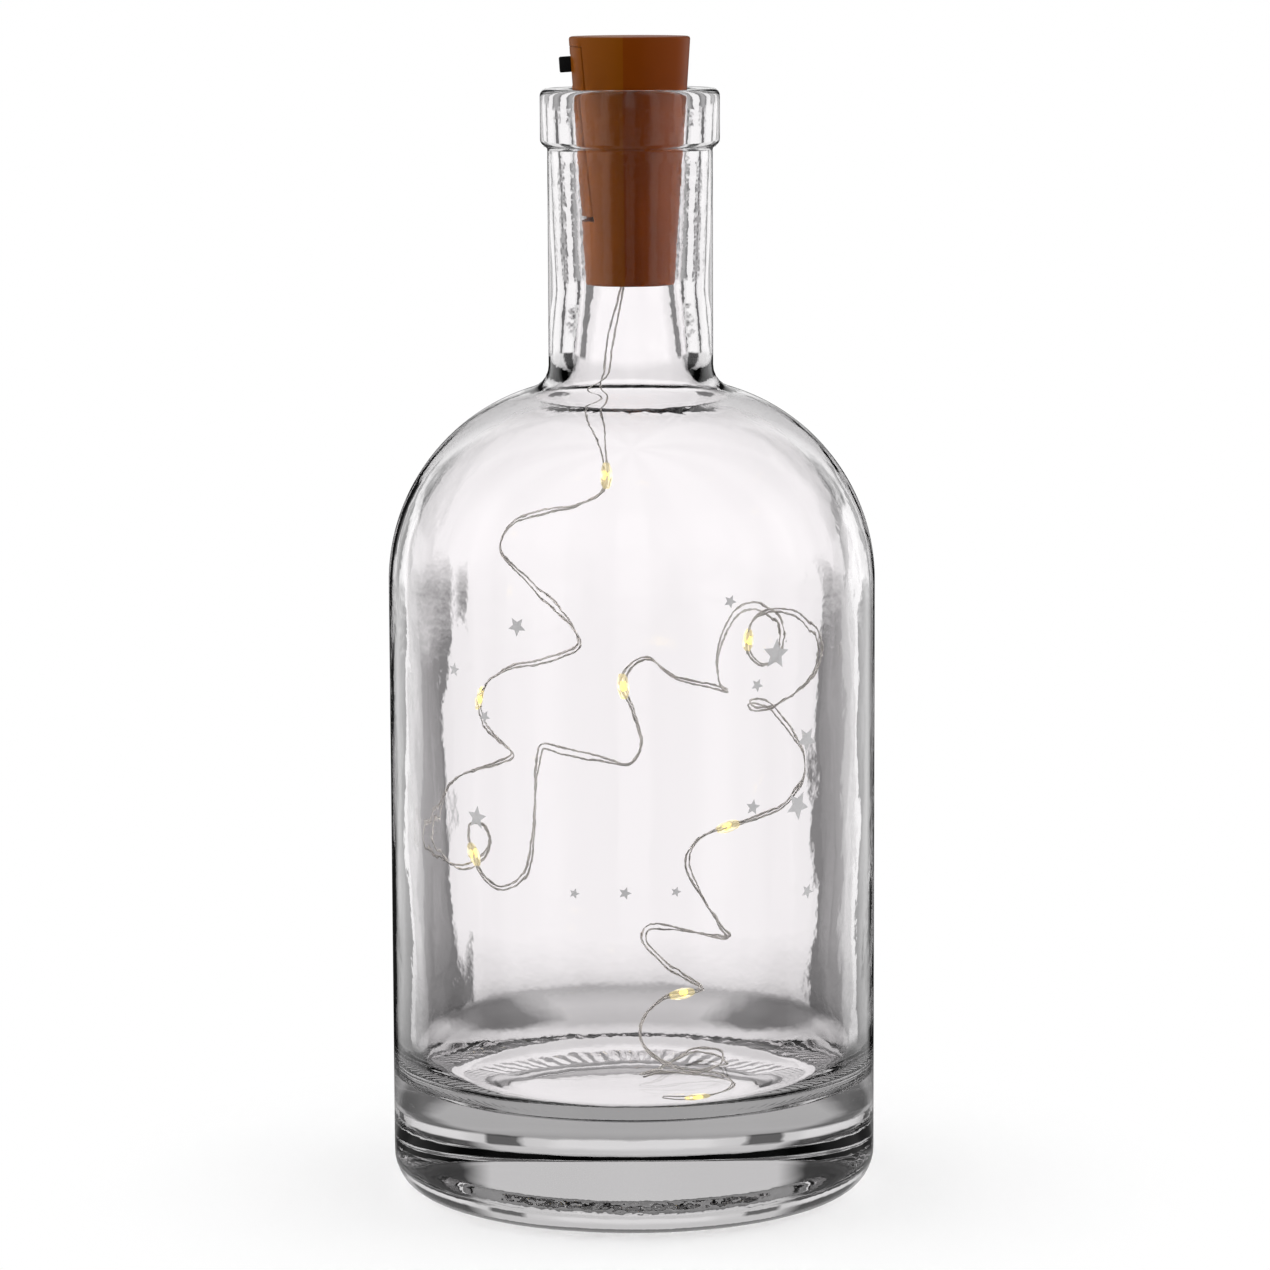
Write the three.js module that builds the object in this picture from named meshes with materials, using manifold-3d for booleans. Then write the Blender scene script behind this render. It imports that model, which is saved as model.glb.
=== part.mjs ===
// Bottle light: a clear glass bottle, a cork-coloured battery stopper and a string of micro lights.
// Millimetres, +Z up. The origin is the middle of the bottle's standing ring, on the table.
// The stopper and what it holds are drawn in heights above the stopper's own lower end.
import * as THREE from "three";
import { mergeVertices } from "three/addons/utils/BufferGeometryUtils.js";
import Module from "manifold-3d";

const wasm = await Module();
wasm.setup();

// Glass bottle, outside
const BOTTLE_HEIGHT = 186.5;
const BODY_RADIUS = 41;
const HEEL_RADIUS = 6.5;
const SHOULDER_START = 104;
const SHOULDER_RADIUS = 33.9;
const NECK_RADIUS = 13.8;
const NECK_FILLET = 4;
const RING_RADIUS = 15;
const RING_HEIGHT = 9.6;
const RING_EDGE = 1.2;

// Glass bottle, inside and underside
const WALL = 3.2;
const FLOOR_HEIGHT = 18.2;
const INNER_HEEL_RADIUS = 8;
const NECK_FOOT_BORE = 9.4;
const NECK_FOOT_ROUND = 4;
const LIP_EDGE = 1;
const STANDING_RING_WIDTH = 7;
const PUSH_UP_HEIGHT = 3.5;
const PUSH_UP_SLOPE = 6;

// Stopper body
const STOPPER_LENGTH = 41.1;
const STOPPER_ABOVE_LIP = 8.6;
const STOPPER_TOP_RADIUS = 10.1;
const STOPPER_BOTTOM_RADIUS = 7.45;
const STOPPER_EDGE = 0.4;
const STOPPER_TOP_WALL = 1.6;
const SEAT_CLEARANCE = 0.25;
const THROAT_GAP = 1.05;
const THROAT_BELOW = 1;

// Button cells and their contact strips
const CELL_COUNT = 3;
const CELL_RADIUS = 5.8;
const CELL_HEIGHT = 5.4;
const CELL_CAP_RADIUS = 4.6;
const CELL_CAP_RISE = 0.3;
const CELL_EDGE = 0.4;
const CELL_GAP = 0.2;
const CELL_CLEARANCE = 0.3;
const CONTACT_SPACE = 1;
const CONTACT_THICKNESS = 0.4;
const CONTACT_RADIUS = 3.6;
const CONTACT_LEG_WIDTH = 0.9;
const CONTACT_RISE = 1.9;

// Rooms inside the stopper
const SHELF_THICKNESS = 1;
const SHELF_SETBACK = 2;
const SWITCH_ROOM_HEIGHT = 9.3;

// Battery cover
const COVER_THICKNESS = 1.3;
const COVER_GAP = 0.3;
const TONGUE_LENGTH = 1.5;
const TONGUE_HALF_WIDTH = 2;
const TONGUE_THICKNESS = 1;

// Slide switch and circuit board
const KNOB_BELOW_TOP = 4.55;
const KNOB_HEIGHT = 2.6;
const KNOB_WIDTH = 2;
const KNOB_REACH = 1.9;
const KNOB_TRAVEL = 2;
const KNOB_STEM = 0.8;
const SWITCH_SETBACK = 2.6;
const SWITCH_DEPTH = 3.6;
const SWITCH_WIDTH = 3.4;
const SWITCH_RIM = 0.5;
const SLIDE_GAP = 0.3;
const BOARD_THICKNESS = 1;
const BOARD_HEIGHT = 6.4;
const BOARD_LENGTH = 11.8;
const RAIL_THICKNESS = 0.9;
const RAIL_LENGTH = 1.8;
const RESISTOR_SIZE = [2, 0.6, 1.2];
const FIT_GAP = 0.3;

// Light string
const WIRE_RADIUS = 0.5;
const WIRE_SIDES = 8;
const WIRE_STEPS_PER_POINT = 2;
const WIRE_EXIT_X = -1.2;
const WIRE_CHANNEL = 0.9;
const BEAD_LENGTH = 4.6;
const BEAD_RADIUS = 1.15;
const BEAD_END_RADIUS = 0.55;
const JOINT_GAP = 0.3;

// Facets: round a turned piece, along a bead, and how far an arc's facets may lie inside the true curve
const ROUND_STEPS = 48;
const SMALL_ROUND_STEPS = 20;
const BEAD_ROUND_STEPS = 10;
const BEAD_RINGS = 6;
const ARC_FLATNESS = 0.08;

// Fineness of measuring along the string, in steps between two of its points
const MEASURING_STEPS = 200;

// Route of the string from the stopper down to its bare end, one list for each stretch.
// Each stretch ends at the middle of a light, apart from the tail.
const STRING_STRETCHES = [
  [
    [-3.0, 1.8, 147.5],
    [-4.4, 4.5, 140.8],
    [-6.5, 7.4, 134.5],
    [-5.3, 6.4, 128.0],
    [-4.3, 4.0, 121.5],
  ],
  [
    [-5.0, 4.0, 118.9],
    [-9.2, 5.8, 116.4],
    [-15.1, 9.0, 114.6],
    [-20.8, 12.5, 112.0],
    [-22.4, 14.0, 107.5],
    [-16.9, 12.0, 101.7],
    [-10.8, 7.5, 95.6],
    [-9.2, 5.5, 92.3],
    [-14.0, 7.5, 89.6],
    [-22.0, 12.5, 87.0],
    [-27.7, 17.5, 81.4],
  ],
  [
    [-26.6, 18.0, 77.0],
    [-22.6, 16.2, 73.4],
    [-20.7, 13.7, 72.0],
    [-23.2, 12.2, 71.0],
    [-30.3, 13.0, 68.6],
    [-35.2, 8.5, 63.5],
    [-36.0, 5.2, 58.6],
    [-33.4, 8.0, 54.6],
    [-28.6, 13.8, 52.6],
    [-25.4, 18.0, 55.4],
    [-26.4, 19.2, 58.9],
    [-28.6, 17.4, 59.4],
    [-28.8, 15.3, 57.4],
    [-27.8, 13.0, 54.8],
  ],
  [
    [-26.2, 11.6, 51.2],
    [-22.6, 11.0, 49.3],
    [-18.9, 9.8, 51.4],
    [-17.2, 9.0, 58.5],
    [-16.9, 9.2, 65.5],
    [-16.4, 11.0, 70.5],
    [-15.4, 13.0, 73.6],
    [-12.0, 12.4, 73.0],
    [-5.8, 10.5, 71.8],
    [-0.6, 9.0, 71.2],
    [1.4, 8.7, 74.4],
    [0.2, 11.0, 79.7],
    [-1.6, 12.5, 84.0],
  ],
  [
    [-0.6, 13.2, 87.2],
    [2.6, 13.0, 88.7],
    [7.2, 11.5, 85.8],
    [13.0, 11.0, 84.4],
    [16.3, 9.0, 83.7],
    [15.0, 6.9, 85.0],
    [14.4, 7.0, 90.0],
    [17.3, 9.5, 96.5],
    [21.6, 13.8, 97.8],
    [26.0, 17.6, 94.5],
    [26.2, 18.0, 89.0],
    [23.0, 16.0, 87.2],
    [20.6, 14.3, 89.3],
    [20.3, 13.5, 91.9],
  ],
  [
    [20.9, 11.8, 95.2],
    [24.6, 11.0, 97.3],
    [30.2, 12.0, 95.4],
    [33.0, 13.5, 90.4],
    [31.2, 14.0, 85.0],
    [25.2, 13.5, 80.7],
    [21.0, 12.1, 80.1],
    [20.0, 10.4, 81.4],
    [22.6, 8.4, 81.8],
    [28.2, 8.8, 76.3],
    [30.7, 10.0, 70.4],
    [28.4, 9.8, 65.9],
    [22.6, 8.4, 62.3],
    [16.3, 7.5, 60.4],
  ],
  [
    [11.4, 7.0, 58.3],
    [9.4, 7.8, 54.6],
    [11.2, 10.6, 49.4],
    [15.4, 15.4, 41.4],
    [16.9, 17.6, 38.4],
    [14.9, 19.7, 38.2],
    [8.0, 20.6, 39.4],
    [2.3, 19.5, 39.9],
    [1.4, 17.4, 38.2],
    [6.0, 12.7, 34.3],
    [11.0, 9.8, 32.0],
    [12.4, 8.2, 31.6],
    [11.2, 6.6, 31.4],
    [8.6, 5.8, 31.0],
  ],
  [
    [5.0, 5.6, 30.0],
    [1.9, 4.9, 27.4],
    [1.0, 1.6, 24.7],
    [3.6, -4.5, 22.7],
    [9.9, -10.2, 21.4],
    [13.9, -4.9, 21.1],
    [16.1, 7.1, 19.6],
    [14.7, 14.2, 19.3],
    [11.3, 15.2, 19.3],
    [7.1, 8.1, 19.3],
    [3.2, -1.8, 19.3],
    [1.3, -4.6, 19.4],
    [1.8, -6.7, 19.9],
    [4.2, -6.2, 20.4],
    [9.1, -3.9, 19.5],
    [13.6, -4.0, 19.3],
    [16.6, -12.5, 19.3],
    [15.3, -23.6, 19.5],
    [10.3, -29.2, 20.0],
  ],
  [
    [7.2, -29.3, 19.7],
    [4.8, -27.8, 19.3],
  ],
];

// Heights above the stopper's lower end, from the top down
const pocketTop = STOPPER_LENGTH - STOPPER_TOP_WALL;
const shelfTop = pocketTop - SWITCH_ROOM_HEIGHT;
const shelfUnderside = shelfTop - SHELF_THICKNESS;
const cellPitch = CELL_HEIGHT + CELL_GAP;
const cellStack = CELL_COUNT * cellPitch - CELL_GAP;
const cellTop = shelfUnderside - CONTACT_SPACE;
const cellBottom = cellTop - cellStack;
const pocketFloor = cellBottom - CONTACT_SPACE;
const pocketHalfWidth = CELL_RADIUS + CELL_CLEARANCE;
const stopperDepth = STOPPER_LENGTH - STOPPER_ABOVE_LIP;
const stopperBottom = BOTTLE_HEIGHT - stopperDepth;
const stopperTaper = (STOPPER_TOP_RADIUS - STOPPER_BOTTOM_RADIUS) / STOPPER_LENGTH;
const outOfReach = 2 * STOPPER_TOP_RADIUS;

// Middle of the wire's upright channel, just behind the cells, and the room the wire takes over the shelf
const channelX = CELL_RADIUS + WIRE_CHANNEL;
const leadRoom = 4 * WIRE_RADIUS;

const stopperRadius = (height) => STOPPER_BOTTOM_RADIUS + stopperTaper * height;

// The switch stands square to the stopper's slanting left side, its origin on that side at the knob's middle
const knobHeight = STOPPER_LENGTH - KNOB_BELOW_TOP;
const switchPosition = new THREE.Vector3(-stopperRadius(knobHeight), 0, knobHeight);
const switchTurn = new THREE.Euler(0, -Math.atan(stopperTaper), 0);
const switchFrame = new THREE.Matrix4()
  .makeRotationFromEuler(switchTurn)
  .setPosition(switchPosition);

const glass = new THREE.MeshStandardMaterial({
  color: 0xe4ecec,
  roughness: 0.03,
  metalness: 0,
  transparent: true,
  opacity: 0.25,
});
const corkPlastic = new THREE.MeshStandardMaterial({ color: 0x6f3f14, roughness: 0.5, metalness: 0 });
const blackPlastic = new THREE.MeshStandardMaterial({ color: 0x141414, roughness: 0.45, metalness: 0 });
const cellSteel = new THREE.MeshStandardMaterial({ color: 0xb9babc, roughness: 0.3, metalness: 1 });
const contactBrass = new THREE.MeshStandardMaterial({ color: 0xc9a24b, roughness: 0.35, metalness: 1 });
const boardGreen = new THREE.MeshStandardMaterial({ color: 0x1f5a36, roughness: 0.5, metalness: 0 });
const ceramic = new THREE.MeshStandardMaterial({ color: 0x22242a, roughness: 0.6, metalness: 0 });
const silverWire = new THREE.MeshStandardMaterial({ color: 0xa9a7a0, roughness: 0.35, metalness: 1 });
const resin = new THREE.MeshStandardMaterial({ color: 0xffc24a, roughness: 0.15, metalness: 0 });

function arc(centreRadius, centreHeight, radius, fromDegrees, toDegrees) {
  const from = THREE.MathUtils.degToRad(fromDegrees);
  const to = THREE.MathUtils.degToRad(toDegrees);
  const widestFacet = 2 * Math.acos(1 - ARC_FLATNESS / radius);
  const steps = Math.ceil(Math.abs(to - from) / widestFacet);
  const points = [];
  for (let i = 0; i <= steps; i++) {
    const angle = THREE.MathUtils.lerp(from, to, i / steps);
    const across = centreRadius + radius * Math.cos(angle);
    const up = centreHeight + radius * Math.sin(angle);
    points.push(new THREE.Vector2(across, up));
  }
  return points;
}

const at = (radius, height) => new THREE.Vector2(radius, height);

// A profile of radius and height turned round the Z axis
function turned(profile, steps) {
  return new THREE.LatheGeometry(profile, steps).rotateX(Math.PI / 2);
}

// Box between two opposite corners, whichever of them is the lower
function box(x0, x1, y0, y1, z0, z1) {
  const geometry = new THREE.BoxGeometry(Math.abs(x1 - x0), Math.abs(y1 - y0), Math.abs(z1 - z0));
  return geometry.translate((x0 + x1) / 2, (y0 + y1) / 2, (z0 + z1) / 2);
}

function cylinder(radius, x, y, z0, z1, steps) {
  const geometry = new THREE.CylinderGeometry(radius, radius, z1 - z0, steps).rotateX(Math.PI / 2);
  return geometry.translate(x, y, (z0 + z1) / 2);
}

function solid(geometry) {
  const bare = geometry.clone();
  bare.deleteAttribute("normal");
  bare.deleteAttribute("uv");
  const merged = mergeVertices(bare, 1e-4);
  return new wasm.Manifold(
    new wasm.Mesh({
      numProp: 3,
      vertProperties: new Float32Array(merged.attributes.position.array),
      triVerts: new Uint32Array(merged.index.array),
    }),
  );
}

function geometryOf(body) {
  const mesh = body.getMesh();
  const geometry = new THREE.BufferGeometry();
  geometry.setAttribute("position", new THREE.BufferAttribute(mesh.vertProperties, 3));
  geometry.setIndex(new THREE.BufferAttribute(mesh.triVerts, 1));
  geometry.computeVertexNormals();
  return geometry;
}

function piece(name, geometry, material) {
  const mesh = new THREE.Mesh(geometry, material);
  mesh.name = name;
  return mesh;
}

function join(first, ...others) {
  return others.reduce((body, next) => body.add(solid(next)), solid(first));
}

function cut(body, ...cutters) {
  return cutters.reduce((left, cutter) => left.subtract(solid(cutter)), body);
}

// Round that touches the neck's upright line and the shoulder's arc: its centre and the angle it turns through
function neckRound(lineRadius, roundRadius, arcRadius) {
  const shoulderCentre = BODY_RADIUS - SHOULDER_RADIUS;
  const across = lineRadius + roundRadius - shoulderCentre;
  const reach = arcRadius + roundRadius;
  const up = Math.sqrt(reach ** 2 - across ** 2);
  return {
    radius: lineRadius + roundRadius,
    height: SHOULDER_START + up,
    angle: THREE.MathUtils.radToDeg(Math.atan2(up, across)),
  };
}

function bottleProfile() {
  const shoulderCentre = BODY_RADIUS - SHOULDER_RADIUS;
  const innerShoulder = SHOULDER_RADIUS - WALL;
  const innerRadius = BODY_RADIUS - WALL;
  const mouthRadius = stopperRadius(stopperDepth) + SEAT_CLEARANCE;
  const throatRadius = STOPPER_BOTTOM_RADIUS + THROAT_GAP;
  const ringFoot = BOTTLE_HEIGHT - RING_HEIGHT;
  const ringCentre = RING_RADIUS - RING_EDGE;
  const standingOuter = BODY_RADIUS - HEEL_RADIUS;
  const standingInner = standingOuter - STANDING_RING_WIDTH;
  const outer = neckRound(NECK_RADIUS, NECK_FILLET, SHOULDER_RADIUS);
  const inner = neckRound(NECK_FOOT_BORE, NECK_FOOT_ROUND, innerShoulder);
  return [
    at(0, PUSH_UP_HEIGHT),
    at(standingInner - PUSH_UP_SLOPE, PUSH_UP_HEIGHT),
    at(standingInner, 0),
    ...arc(standingOuter, HEEL_RADIUS, HEEL_RADIUS, -90, 0),
    ...arc(shoulderCentre, SHOULDER_START, SHOULDER_RADIUS, 0, outer.angle),
    ...arc(outer.radius, outer.height, NECK_FILLET, outer.angle + 180, 180).slice(1),
    at(NECK_RADIUS, ringFoot),
    ...arc(ringCentre, ringFoot + RING_EDGE, RING_EDGE, -90, 0).slice(1),
    ...arc(ringCentre, BOTTLE_HEIGHT - RING_EDGE, RING_EDGE, 0, 90),
    ...arc(mouthRadius + LIP_EDGE, BOTTLE_HEIGHT - LIP_EDGE, LIP_EDGE, 90, 180),
    at(throatRadius, stopperBottom - THROAT_BELOW),
    ...arc(inner.radius, inner.height, NECK_FOOT_ROUND, 180, inner.angle + 180),
    ...arc(shoulderCentre, SHOULDER_START, innerShoulder, inner.angle, 0).slice(1),
    ...arc(innerRadius - INNER_HEEL_RADIUS, FLOOR_HEIGHT + INNER_HEEL_RADIUS, INNER_HEEL_RADIUS, 0, -90),
    at(0, FLOOR_HEIGHT),
  ];
}

function makeBottle() {
  return piece("glass_bottle", turned(bottleProfile(), ROUND_STEPS), glass);
}

// Tapered plug with a flat top and softened ends
function stopperSolid(inset) {
  const bottom = STOPPER_BOTTOM_RADIUS - inset;
  const top = STOPPER_TOP_RADIUS - inset;
  return turned(
    [
      at(0, 0),
      ...arc(bottom - STOPPER_EDGE, STOPPER_EDGE, STOPPER_EDGE, -90, 0),
      ...arc(top - STOPPER_EDGE, STOPPER_LENGTH - STOPPER_EDGE, STOPPER_EDGE, 0, 90),
      at(0, STOPPER_LENGTH),
    ],
    ROUND_STEPS,
  );
}

// Room with a round back, open to the left side of the stopper
function pocket(z0, z1) {
  const outline = new THREE.Shape([
    at(-outOfReach, -pocketHalfWidth),
    ...arc(0, 0, pocketHalfWidth, -90, 90),
    at(-outOfReach, pocketHalfWidth),
  ]);
  const room = new THREE.ExtrudeGeometry(outline, { depth: z1 - z0, bevelEnabled: false });
  return room.translate(0, 0, z0);
}

function tongueBox(clearance) {
  const innerFace = stopperRadius(pocketFloor) - COVER_THICKNESS;
  return box(
    -innerFace - FIT_GAP - clearance,
    -innerFace - FIT_GAP + TONGUE_THICKNESS + clearance,
    -TONGUE_HALF_WIDTH - clearance,
    TONGUE_HALF_WIDTH + clearance,
    pocketFloor - TONGUE_LENGTH - clearance,
    pocketFloor + COVER_GAP + CONTACT_SPACE,
  );
}

const boardFront = SWITCH_WIDTH / 2 + FIT_GAP;
const boardBack = boardFront + BOARD_THICKNESS;
const railLeft = switchPosition.x + SWITCH_SETBACK + BOARD_LENGTH - RAIL_LENGTH;

// Upright ribs that hold the right edge of the board between them
function rails() {
  const railFoot = shelfTop + leadRoom;
  const front = boardFront - FIT_GAP;
  const back = boardBack + FIT_GAP;
  return [
    box(railLeft, pocketHalfWidth, front - RAIL_THICKNESS, front, railFoot, pocketTop + FIT_GAP),
    box(railLeft, pocketHalfWidth, back, back + RAIL_THICKNESS, railFoot, pocketTop + FIT_GAP),
  ];
}

function makeHousing() {
  const channelBack = channelX + WIRE_CHANNEL;
  const channelFloor = pocketFloor - 2 * WIRE_CHANNEL;
  const shelfFront = box(
    -outOfReach,
    -SHELF_SETBACK,
    -pocketHalfWidth,
    pocketHalfWidth,
    shelfUnderside - FIT_GAP,
    shelfTop + FIT_GAP,
  );
  const upright = box(0, channelBack, -WIRE_CHANNEL, WIRE_CHANNEL, channelFloor, shelfTop + 2 * WIRE_CHANNEL);
  const lengthways = box(
    WIRE_EXIT_X - WIRE_CHANNEL,
    channelBack,
    -WIRE_CHANNEL,
    WIRE_CHANNEL,
    channelFloor,
    pocketFloor + FIT_GAP,
  );
  const exit = cylinder(WIRE_CHANNEL, WIRE_EXIT_X, 0, -FIT_GAP, pocketFloor, SMALL_ROUND_STEPS);
  const funnel = turned(
    [
      at(0, channelFloor - 2 * WIRE_CHANNEL),
      at(WIRE_CHANNEL, channelFloor - 2 * WIRE_CHANNEL),
      at(3 * WIRE_CHANNEL, channelFloor + FIT_GAP),
      at(0, channelFloor + FIT_GAP),
    ],
    SMALL_ROUND_STEPS,
  ).translate(WIRE_EXIT_X, 0, 0);
  const shell = cut(
    solid(stopperSolid(0)),
    pocket(pocketFloor, shelfUnderside),
    pocket(shelfTop, pocketTop),
    shelfFront,
    upright,
    lengthways,
    exit,
    funnel,
    tongueBox(FIT_GAP),
  );
  const whole = rails().reduce((body, rail) => body.add(solid(rail)), shell);
  return piece("stopper_housing", geometryOf(whole), corkPlastic);
}

function makeCover() {
  const halfWidth = pocketHalfWidth - COVER_GAP;
  const panel = box(-outOfReach, 0, -halfWidth, halfWidth, pocketFloor + COVER_GAP, pocketTop - COVER_GAP);
  const skin = cut(solid(stopperSolid(0)), stopperSolid(COVER_THICKNESS));
  const slot = box(
    -KNOB_REACH - COVER_THICKNESS,
    SWITCH_SETBACK,
    -KNOB_WIDTH / 2 - SLIDE_GAP,
    KNOB_WIDTH / 2 + SLIDE_GAP,
    -KNOB_HEIGHT / 2 - KNOB_TRAVEL - SLIDE_GAP,
    KNOB_HEIGHT / 2 + SLIDE_GAP,
  ).applyMatrix4(switchFrame);
  const body = cut(skin.intersect(solid(panel)), slot).add(solid(tongueBox(0)));
  return piece("battery_cover", geometryOf(body), corkPlastic);
}

function makeCell(index) {
  const shoulder = CELL_HEIGHT - CELL_CAP_RISE;
  const profile = [
    at(0, 0),
    at(CELL_RADIUS - CELL_EDGE, 0),
    at(CELL_RADIUS, CELL_EDGE),
    at(CELL_RADIUS, shoulder - CELL_EDGE),
    at(CELL_RADIUS - CELL_EDGE, shoulder),
    at(CELL_CAP_RADIUS, shoulder),
    at(CELL_CAP_RADIUS, CELL_HEIGHT),
    at(0, CELL_HEIGHT),
  ];
  const cell = piece(`button_cell_${index + 1}`, turned(profile, SMALL_ROUND_STEPS), cellSteel);
  cell.position.z = cellBottom + index * cellPitch;
  return cell;
}

// Contact strip: a round pad at one end of the stack, an arm out to the pocket's side wall, a leg up that wall
// past the shelf, and a tab in to the board
function makeContact(name, padBottom, side) {
  const padTop = padBottom + CONTACT_THICKNESS;
  const legRight = -SHELF_SETBACK - FIT_GAP;
  const legLeft = legRight - CONTACT_LEG_WIDTH;
  const legTop = shelfTop + CONTACT_RISE;
  const wallFace = side * (pocketHalfWidth - FIT_GAP);
  const legFace = wallFace - side * CONTACT_THICKNESS;
  const boardFace = side > 0 ? boardBack + FIT_GAP : boardFront - FIT_GAP;
  const strip = join(
    cylinder(CONTACT_RADIUS, 0, 0, padBottom, padTop, SMALL_ROUND_STEPS),
    box(legLeft, legRight, 0, wallFace, padBottom, padTop),
    box(legLeft, legRight, legFace, wallFace, padBottom, legTop),
    box(legLeft, legRight, boardFace, wallFace, legTop - CONTACT_THICKNESS, legTop),
  );
  return piece(name, geometryOf(strip), contactBrass);
}

// Board, switch body and resistor in the switch's own frame: X runs inwards, Z up along the stopper's side
function makeBoard() {
  const top = KNOB_HEIGHT / 2;
  const right = SWITCH_SETBACK + BOARD_LENGTH;
  const plate = box(SWITCH_SETBACK, right, boardFront, boardBack, top - BOARD_HEIGHT, top);
  return piece("circuit_board", plate, boardGreen);
}

function makeSwitchCase() {
  const slotTop = KNOB_HEIGHT / 2 + SLIDE_GAP;
  const slotBottom = -KNOB_HEIGHT / 2 - KNOB_TRAVEL - SLIDE_GAP;
  const slotHalf = KNOB_WIDTH / 2 + SLIDE_GAP;
  const shell = solid(
    box(
      SWITCH_SETBACK,
      SWITCH_SETBACK + SWITCH_DEPTH,
      -SWITCH_WIDTH / 2,
      SWITCH_WIDTH / 2,
      slotBottom - SWITCH_RIM,
      slotTop + SWITCH_RIM,
    ),
  );
  const slot = box(
    SWITCH_SETBACK - FIT_GAP,
    SWITCH_SETBACK + KNOB_STEM + SLIDE_GAP,
    -slotHalf,
    slotHalf,
    slotBottom,
    slotTop,
  );
  return piece("switch_case", geometryOf(cut(shell, slot)), blackPlastic);
}

function makeKnob() {
  const lever = box(
    -KNOB_REACH,
    SWITCH_SETBACK + KNOB_STEM,
    -KNOB_WIDTH / 2,
    KNOB_WIDTH / 2,
    -KNOB_HEIGHT / 2,
    KNOB_HEIGHT / 2,
  );
  return piece("switch_knob", lever, blackPlastic);
}

function makeResistor() {
  const [length, depth, height] = RESISTOR_SIZE;
  const left = SWITCH_SETBACK + SWITCH_DEPTH + length;
  const back = boardFront - FIT_GAP;
  const middle = KNOB_HEIGHT / 2 - BOARD_HEIGHT / 2;
  const body = box(left, left + length, back - depth, back, middle - height / 2, middle + height / 2);
  return piece("resistor", body, ceramic);
}

// Round wire along part of a curve, with its steps set by the curve's own points, closer where it bends
class CurvePart extends THREE.Curve {
  constructor(curve, from, to) {
    super();
    this.curve = curve;
    this.from = from;
    this.to = to;
  }
  getPoint(share, target = new THREE.Vector3()) {
    return this.curve.getPoint(THREE.MathUtils.lerp(this.from, this.to, share), target);
  }
  getUtoTmapping(share) {
    return share;
  }
}

function wire(curve, from, to, steps) {
  const section = new THREE.Shape();
  for (let i = 0; i < WIRE_SIDES; i++) {
    const angle = (2 * Math.PI * i) / WIRE_SIDES;
    const corner = [WIRE_RADIUS * Math.cos(angle), WIRE_RADIUS * Math.sin(angle)];
    if (i === 0) section.moveTo(...corner);
    else section.lineTo(...corner);
  }
  section.closePath();
  return new THREE.ExtrudeGeometry(section, {
    steps,
    extrudePath: new CurvePart(curve, from, to),
    bevelEnabled: false,
  });
}

const vectors = (points) => points.map((point) => new THREE.Vector3(...point));

// The string's own wire inside the stopper, from under the board, down behind the cells and out below
function makeLead() {
  const solderX = railLeft - FIT_GAP - 2 * WIRE_RADIUS;
  const solderY = boardFront - FIT_GAP - WIRE_RADIUS;
  const channelMiddle = pocketFloor - WIRE_CHANNEL;
  const route = new THREE.CatmullRomCurve3(
    vectors([
      [solderX, solderY, shelfTop + BOARD_HEIGHT / 2],
      [solderX, solderY, shelfTop + leadRoom],
      [(solderX + channelX) / 2, 0, shelfTop + leadRoom / 2],
      [channelX, 0, shelfUnderside - SHELF_THICKNESS],
      [channelX, 0, cellBottom + CELL_HEIGHT],
      [channelX, 0, pocketFloor + WIRE_CHANNEL],
      [channelX - 2 * WIRE_CHANNEL, 0, channelMiddle],
      [WIRE_EXIT_X + 2 * WIRE_CHANNEL, 0, channelMiddle],
      [WIRE_EXIT_X, 0, channelMiddle - 2 * WIRE_CHANNEL],
      [WIRE_EXIT_X, 0, JOINT_GAP],
    ]),
    false,
    "centripetal",
  );
  const steps = 2 * (route.points.length - 1);
  return piece("lead_wire", wire(route, 0, 1, steps), silverWire);
}

const stringPoints = vectors([[WIRE_EXIT_X, 0, stopperBottom], ...STRING_STRETCHES.flat()]);
const stringRoute = new THREE.CatmullRomCurve3(stringPoints, false, "centripetal");
stringRoute.arcLengthDivisions = MEASURING_STEPS * stringPoints.length;

// Share of the route at which a given length of wire is reached, going on from a share in steps of the route
function shareAfter(share, length) {
  const step = Math.sign(length) / (MEASURING_STEPS * stringPoints.length);
  let left = Math.abs(length);
  let here = stringRoute.getPoint(share);
  let now = share;
  while (left > 0) {
    now += step;
    const next = stringRoute.getPoint(now);
    left -= next.distanceTo(here);
    here = next;
  }
  return now;
}

// Resin drop over a light chip: flat ends where the wires enter, fullest at the middle
function makeBead(number, share) {
  const half = BEAD_LENGTH / 2;
  const profile = [at(0, -half)];
  for (let i = 0; i <= BEAD_RINGS; i++) {
    const along = THREE.MathUtils.lerp(-1, 1, i / BEAD_RINGS);
    const swell = Math.cos((along * Math.PI) / 2);
    profile.push(at(BEAD_END_RADIUS + (BEAD_RADIUS - BEAD_END_RADIUS) * swell, along * half));
  }
  profile.push(at(0, half));
  const bead = piece(`led_bead_${number}`, turned(profile, BEAD_ROUND_STEPS), resin);
  bead.position.copy(stringRoute.getPoint(share));
  bead.quaternion.setFromUnitVectors(new THREE.Vector3(0, 0, 1), stringRoute.getTangent(share));
  return bead;
}

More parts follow.
